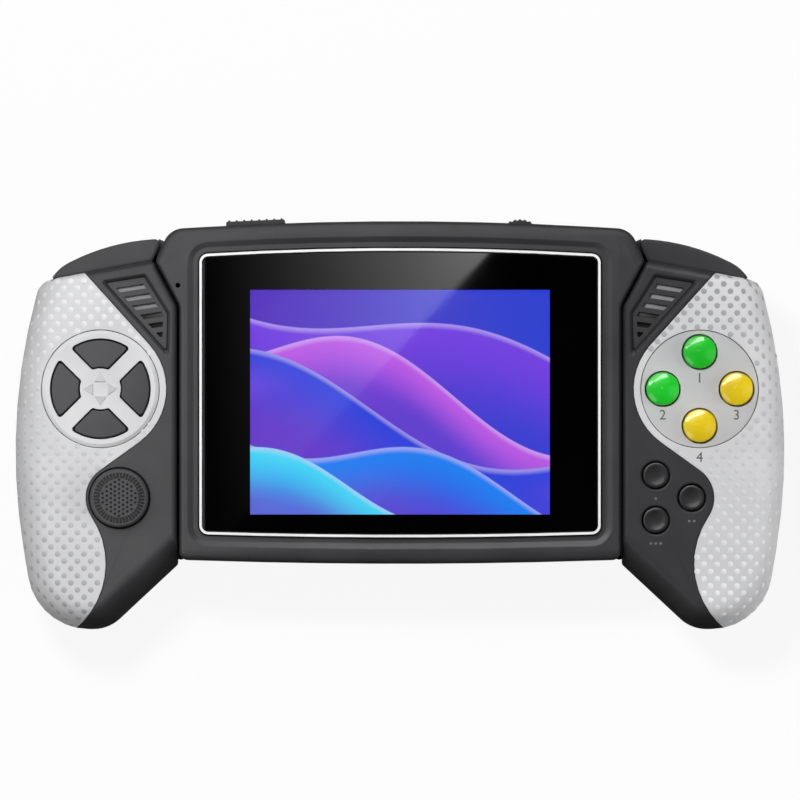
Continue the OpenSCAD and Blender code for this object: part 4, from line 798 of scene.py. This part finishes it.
def addKnob():
    model = mergedCopy("power_knob")
    longest = max(model.edges, key=lambda e: (e.verts[1].co - e.verts[0].co).xy.length)
    along = (longest.verts[1].co - longest.verts[0].co).xy.normalized()
    along = along if along.x > 0 else -along
    out = Vector((-along.y, along.x))
    spots = [Vector((v.co.xy.dot(along), v.co.xy.dot(out), v.co.z)) for v in model.verts]
    model.free()
    left, right = min(p.x for p in spots), max(p.x for p in spots)
    top = max(p.y for p in spots)
    base = top - knobLook["rise"] * mm
    bar = top - knobLook["ribRise"] * mm
    foot = base + knobLook["foot"] * mm
    corner = knobLook["corner"] * mm
    profile = [(left, foot)] + arc(left + corner, bar - corner, corner, corner, 180, 90, 4)
    for rib in range(knobLook["ribs"]):
        middle = (left + right) / 2 + (rib - (knobLook["ribs"] - 1) / 2) * knobLook["pitch"] * mm
        profile += arc(middle, bar, knobLook["ribHalf"] * mm, knobLook["ribRise"] * mm, 180, 0, 6)
    profile += arc(right - corner, bar - corner, corner, corner, 90, 0, 4) + [(right, foot)]
    low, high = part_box("power_knob")
    stem = [p for p in spots if p.y < base]
    near, far = min(p.x for p in stem), max(p.x for p in stem)
    deep = min(p.y for p in stem)
    stemProfile = [(near, deep), (near, foot), (far, foot), (far, deep)]
    blocks = [(profile, low.z, high.z), (stemProfile, min(p.z for p in stem), max(p.z for p in stem))]
    bm = bmesh.new()
    for outline, bottom, roof in blocks:
        ring = [bm.verts.new((*(along * u + out * v), bottom)) for u, v in outline]
        made = bmesh.ops.extrude_face_region(bm, geom=[bm.faces.new(ring)])["geom"]
        lifted = [v for v in made if isinstance(v, bmesh.types.BMVert)]
        bmesh.ops.translate(bm, verts=lifted, vec=(0, 0, roof - bottom))
    bmesh.ops.recalc_face_normals(bm, faces=bm.faces)
    finishPiece(bm, "power_knob_ribbed", "control", bodyOf["power_knob"], ("power_knob",), even=False)


addKnob()

# Printed marks: a plain number below each face button, pips below each menu button
prints = dict(numberHeight=2.4, sizeForHeight=1.37, thick=0.02, lift=0.012, gap=0.7, lowGap=1.95,
              pipRadius=0.3, pipStep=1.15, pipGap=1.75)
numbers = {"face_button_top": "1", "face_button_left": "2", "face_button_right": "3", "face_button_bottom": "4"}
pips = {"menu_button_upper": 1, "menu_button_side": 2, "menu_button_lower": 3}


# The node's box is as wide as the hidden flange, so the cap's own edge lies further in
def faceButtonLip(node):
    low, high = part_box(node)
    mesh = cadNodes[node].data
    crown = [v.co.y for v in mesh.vertices if v.co.z > high.z - 2 * mm]
    return min(crown) - low.y


def addNumbers():
    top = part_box("button_plate")[1].z
    joined = bmesh.new()
    for node, number in numbers.items():
        curve = bpy.data.curves.new(number, "FONT")
        curve.body = number
        curve.align_x, curve.align_y = "CENTER", "TOP"
        # Drawn in millimetres and scaled down later, so small counters stay open
        curve.size = prints["numberHeight"] * prints["sizeForHeight"]
        curve.extrude = prints["thick"] / 2
        words = bpy.data.objects.new(number, curve)
        bpy.context.scene.collection.objects.link(words)
        bpy.context.view_layer.update()
        mesh = bpy.data.meshes.new_from_object(words.evaluated_get(bpy.context.evaluated_depsgraph_get()))
        low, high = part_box(node)
        onPanelTop = node == "face_button_bottom"
        drop = prints["lowGap"] if onPanelTop else prints["gap"]
        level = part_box("right_grip_panel")[1].z if onPanelTop else top
        wider = faceButtonLip(node)
        place = Vector(((low.x + high.x) / 2, low.y + wider - drop * mm, level + prints["lift"] * mm))
        mesh.transform(Matrix.Translation(place) @ Matrix.Scale(mm, 4))
        joined.from_mesh(mesh)
        bpy.data.objects.remove(words)
        bpy.data.curves.remove(curve)
        bpy.data.meshes.remove(mesh)
    finishPiece(joined, "button_numbers", "control", "case", look="ink", even=False)


def addPips():
    joined = bmesh.new()
    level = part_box("right_grip_front")[1].z + prints["thick"] / 2 * mm
    for node, count in pips.items():
        low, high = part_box(node)
        for i in range(count):
            x = (low.x + high.x) / 2 + (i - (count - 1) / 2) * prints["pipStep"] * mm
            spot = Vector((x, low.y - prints["pipGap"] * mm, level))
            made = bmesh.ops.create_cone(joined, cap_ends=True, segments=20, radius1=prints["pipRadius"] * mm,
                                         radius2=prints["pipRadius"] * 0.97 * mm, depth=prints["thick"] * mm)
            bmesh.ops.translate(joined, verts=made["verts"], vec=spot)
    finishPiece(joined, "menu_pips", "plate", "case", look="pale_ink", even=False)


addNumbers()
addPips()

# Case screws: a crosswise recess in the end of every head
screwLook = dict(arm=1.35, half=0.32, depth=0.8, taper=0.7)


def addScrews():
    bm = mergedCopy("case_screws", False)
    bottoms = {}  # lowest point of each screw, told apart by an 8 mm grid
    for v in bm.verts:
        key = (round(v.co.x / mm / 8), round(v.co.y / mm / 8))
        bottoms[key] = min(bottoms.get(key, 1.0), v.co.z)
    ends = []
    for face in bm.faces:
        low = min(v.co.z for v in face.verts)
        near = any(abs(z - low) < 0.01 * mm for z in bottoms.values())
        if face.normal.z < -0.9 and near and face.calc_center_median().z < low + 0.01 * mm:
            ends.append(face)
    openLoops = []
    bmesh.ops.delete(bm, geom=ends, context="FACES")
    rims = [e for e in bm.edges if e.is_boundary]
    while rims:
        loop, front = set(), [rims[0]]
        while front:
            edge = front.pop()
            loop.add(edge)
            front += [e for v in edge.verts for e in v.link_edges if e.is_boundary and e not in loop]
        rims = [e for e in rims if e not in loop]
        openLoops.append(list(loop))
    for loop in openLoops:
        spots = {v for e in loop for v in e.verts}
        middle = sum((v.co for v in spots), Vector()) / len(spots)
        grid = bmesh.ops.create_grid(bm, x_segments=3, y_segments=3, size=1.0)["verts"]
        for v in grid:
            wide = [screwLook["arm"] if abs(c) > 0.6 else screwLook["half"] for c in v.co.xy]
            v.co = middle + Vector((math.copysign(wide[0], v.co.x), math.copysign(wide[1], v.co.y), 0)) * mm
        corners = [v for v in grid if len(v.link_faces) == 1]
        bmesh.ops.delete(bm, geom=corners, context="VERTS")
        grid = [v for v in grid if v.is_valid]
        faces = list({f for v in grid for f in v.link_faces})
        made = bmesh.ops.extrude_face_region(bm, geom=faces)["geom"]
        floor = [v for v in made if isinstance(v, bmesh.types.BMVert)]
        for v in floor:
            v.co = middle + (v.co - middle) * screwLook["taper"] + Vector((0, 0, screwLook["depth"] * mm))
        rim = [e for v in grid if v.is_valid for e in v.link_edges if e.is_boundary]
        bmesh.ops.bridge_loops(bm, edges=loop + list(set(rim)))
    bmesh.ops.recalc_face_normals(bm, faces=bm.faces)
    finishPiece(bm, "case_screws_dressed", "steel", "case", ("case_screws",), even=False)


addScrews()
print("stick cap, marks, prints and screws made")

# Stage: a pale floor that stays white to the camera and keeps a soft shadow
stageLook = dict(size=6.0, shadowShare=0.09, floorZ=-0.0003)


def stageMaterial(name):
    material, tree, out, where = startMaterial(name)
    path = addNode(tree, "ShaderNodeLightPath")
    seen = calc(tree, "MAXIMUM", path.outputs["Is Camera Ray"], path.outputs["Is Glossy Ray"])
    seen = calc(tree, "MAXIMUM", seen, path.outputs["Is Transmission Ray"])
    grain = noise(tree, where, 0.4, 2)
    colour = blendColour(tree, grain, grey(236, 0), grey(240, 0))
    diffuse = addNode(tree, "ShaderNodeBsdfDiffuse", Color=colour)
    glow = addNode(tree, "ShaderNodeEmission", Strength=1.0)
    mix = addNode(tree, "ShaderNodeMixShader")
    tree.links.new(calc(tree, "MULTIPLY", seen, 1 - stageLook["shadowShare"]), mix.inputs[0])
    tree.links.new(diffuse.outputs[0], mix.inputs[1])
    tree.links.new(glow.outputs[0], mix.inputs[2])
    tree.links.new(mix.outputs[0], out.inputs["Surface"])
    return material


def stagePiece(name, bm, material):
    mesh = bpy.data.meshes.new(name)
    bm.to_mesh(mesh)
    bm.free()
    piece = bpy.data.objects.new(name, mesh)
    bpy.context.scene.collection.objects.link(piece)
    mesh.materials.append(material)
    return piece


bm = bmesh.new()
bmesh.ops.create_grid(bm, x_segments=1, y_segments=1, size=stageLook["size"] / 2)
bmesh.ops.translate(bm, verts=bm.verts, vec=(0, 0, stageLook["floorZ"]))
stagePiece("floor", bm, stageMaterial("floor"))

# Cards that only reflections see: a sharp-edged glow above the lens, and broad sheets beside the object
cards = {
    "lensGlow": dict(middle=(0.0, 0.01, 0.9), size=(0.2, 0.2), aim=None),
    "skySheet": dict(middle=(-0.1508, 0.1355, 0.08), size=(0.4, 0.8), aim=None, turn=139.8, hole=True, glow=1.45),
    "cornerSheet": dict(middle=(-0.19, 0.46, 0.48), size=(1.0, 0.28), aim=(0, 0, 0.035), glow=9.0),
    "lowSheet": dict(middle=(-0.5, -0.5, 0.55), size=(0.5, 0.4), aim=(0, 0, 0.03), glow=1.5),
    "rightSheet": dict(middle=(0.55, -0.1, 0.3), size=(0.4, 0.9), aim=(0, 0, 0.03), glow=0.5),
    "floorFlag": dict(middle=(0.0, 0.0, -0.0001), size=(2.4, 2.4), aim=None, glow=0.02),
}
glowLook = dict(topX=0.021, topY=0.0402, lowX=-0.0391, lowY=-0.0245, scale=1.277, near=3.9, fade=0.066,
                centreY=0.0056)


def glowMaterial(name):
    material, tree, out, where = startMaterial(name)
    parts = addNode(tree, "ShaderNodeSeparateXYZ", Vector=where)
    x = calc(tree, "DIVIDE", parts.outputs[0], glowLook["scale"])
    y = calc(tree, "ADD", parts.outputs[1], glowLook["centreY"] * (glowLook["scale"] - 1))
    y = calc(tree, "DIVIDE", y, glowLook["scale"])
    lean = (glowLook["topX"] - glowLook["lowX"]) / (glowLook["topY"] - glowLook["lowY"])
    edgeX = calc(tree, "MULTIPLY", calc(tree, "SUBTRACT", y, glowLook["lowY"]), lean)
    edgeX = calc(tree, "ADD", edgeX, glowLook["lowX"])
    inside = between(tree, calc(tree, "SUBTRACT", edgeX, x), -0.0001, 0.0001)
    fade = between(tree, calc(tree, "SUBTRACT", glowLook["topX"], x), 0.0, glowLook["fade"], 1.0, 0.08, "LINEAR")
    fade = calc(tree, "POWER", fade, 2.0)
    sink = between(tree, y, glowLook["lowY"], glowLook["topY"], 0.3, 1.0, "LINEAR")
    sink = calc(tree, "MULTIPLY", sink, glowLook["near"])
    strength = calc(tree, "MULTIPLY", calc(tree, "MULTIPLY", inside, fade), sink)
    glow = addNode(tree, "ShaderNodeEmission", Strength=strength)
    tree.links.new(glow.outputs[0], out.inputs["Surface"])
    return material


def sheetMaterial(name, strength, hole=False):
    material, tree, out, where = startMaterial(name)
    cloth = noise(tree, where, 0.05, 2)
    power = between(tree, cloth, 0.2, 0.8, strength * 0.97, strength * 1.03)
    glow = addNode(tree, "ShaderNodeEmission", Strength=power)
    if not hole:
        tree.links.new(glow.outputs[0], out.inputs["Surface"])
        return material
    low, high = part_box("lens")  # open above the lens, which has a glow of its own
    parts = addNode(tree, "ShaderNodeSeparateXYZ", Vector=where)
    fromX = calc(tree, "SUBTRACT", calc(tree, "ABSOLUTE", parts.outputs[0]), high.x)
    fromY = calc(tree, "ABSOLUTE", calc(tree, "SUBTRACT", parts.outputs[1], (low.y + high.y) / 2))
    fromY = calc(tree, "SUBTRACT", fromY, (high.y - low.y) / 2)
    mix = addNode(tree, "ShaderNodeMixShader")
    tree.links.new(between(tree, calc(tree, "MAXIMUM", fromX, fromY), 0, 0.5 * mm), mix.inputs[0])
    tree.links.new(addNode(tree, "ShaderNodeBsdfTransparent").outputs[0], mix.inputs[1])
    tree.links.new(glow.outputs[0], mix.inputs[2])
    tree.links.new(mix.outputs[0], out.inputs["Surface"])
    return material


for name, card in cards.items():
    bm = bmesh.new()
    bmesh.ops.create_grid(bm, x_segments=1, y_segments=1, size=0.5)
    bmesh.ops.scale(bm, verts=bm.verts, vec=(card["size"][0], card["size"][1], 1))
    if card["aim"]:
        turn = (Vector(card["aim"]) - Vector(card["middle"])).to_track_quat("-Z", "Y").to_matrix()
        bmesh.ops.rotate(bm, verts=bm.verts, cent=(0, 0, 0), matrix=turn)
    if "turn" in card:
        turn = Matrix.Rotation(math.radians(card["turn"]), 3, "Z")
        bmesh.ops.rotate(bm, verts=bm.verts, cent=(0, 0, 0), matrix=turn)
    bmesh.ops.translate(bm, verts=bm.verts, vec=card["middle"])
    look = sheetMaterial(name, card["glow"], card.get("hole", False)) if "glow" in card else glowMaterial(name)
    sheet = stagePiece(name, bm, look)
    sheet.visible_camera = False
    sheet.visible_diffuse = False
    sheet.visible_transmission = False
    sheet.visible_shadow = False

# Lamps: the main one at the upper left, a weak one low at the left, a broad fill at the right
lamps = {
    "main": dict(place=(-0.18, 0.27, 0.76), size=(0.14, 0.14), power=5.2, glints=False),
    "low": dict(place=(-0.62, -0.42, 0.4), size=(0.35, 0.6), power=0.25, glints=False),
    "fill": dict(place=(0.8, -0.05, 0.25), size=(0.5, 0.5), power=3.0, glints=False),
}
for name, lamp in lamps.items():
    data = bpy.data.lights.new(name, "AREA")
    data.shape = "RECTANGLE"
    data.size, data.size_y = lamp["size"]
    data.energy = lamp["power"]
    light = bpy.data.objects.new(name, data)
    light.location = lamp["place"]
    light.visible_glossy = lamp["glints"]
    light.rotation_euler = (Vector((0, 0, 0.03)) - light.location).to_track_quat("-Z", "Y").to_euler()
    bpy.context.scene.collection.objects.link(light)

world = bpy.data.worlds.new("studio")
world.use_nodes = True
world.node_tree.nodes["Background"].inputs["Color"].default_value = (1, 1, 1, 1)
world.node_tree.nodes["Background"].inputs["Strength"].default_value = 0.12
bpy.context.scene.world = world

# Camera: straight down on the front through a long lens
cameraLook = dict(lens=600.0, sensor=36.0, width=0.18702, centreY=0.0056, planeZ=0.0345)
data = bpy.data.cameras.new("camera")
data.lens = cameraLook["lens"]
data.sensor_width = cameraLook["sensor"]
data.clip_end = 20
camera = bpy.data.objects.new("camera", data)
height = cameraLook["width"] * cameraLook["lens"] / cameraLook["sensor"]
camera.location = (0, cameraLook["centreY"], cameraLook["planeZ"] + height)
bpy.context.scene.collection.objects.link(camera)
bpy.context.scene.camera = camera
bpy.context.scene.view_settings.view_transform = "Standard"
print("stage, lamps and camera set")
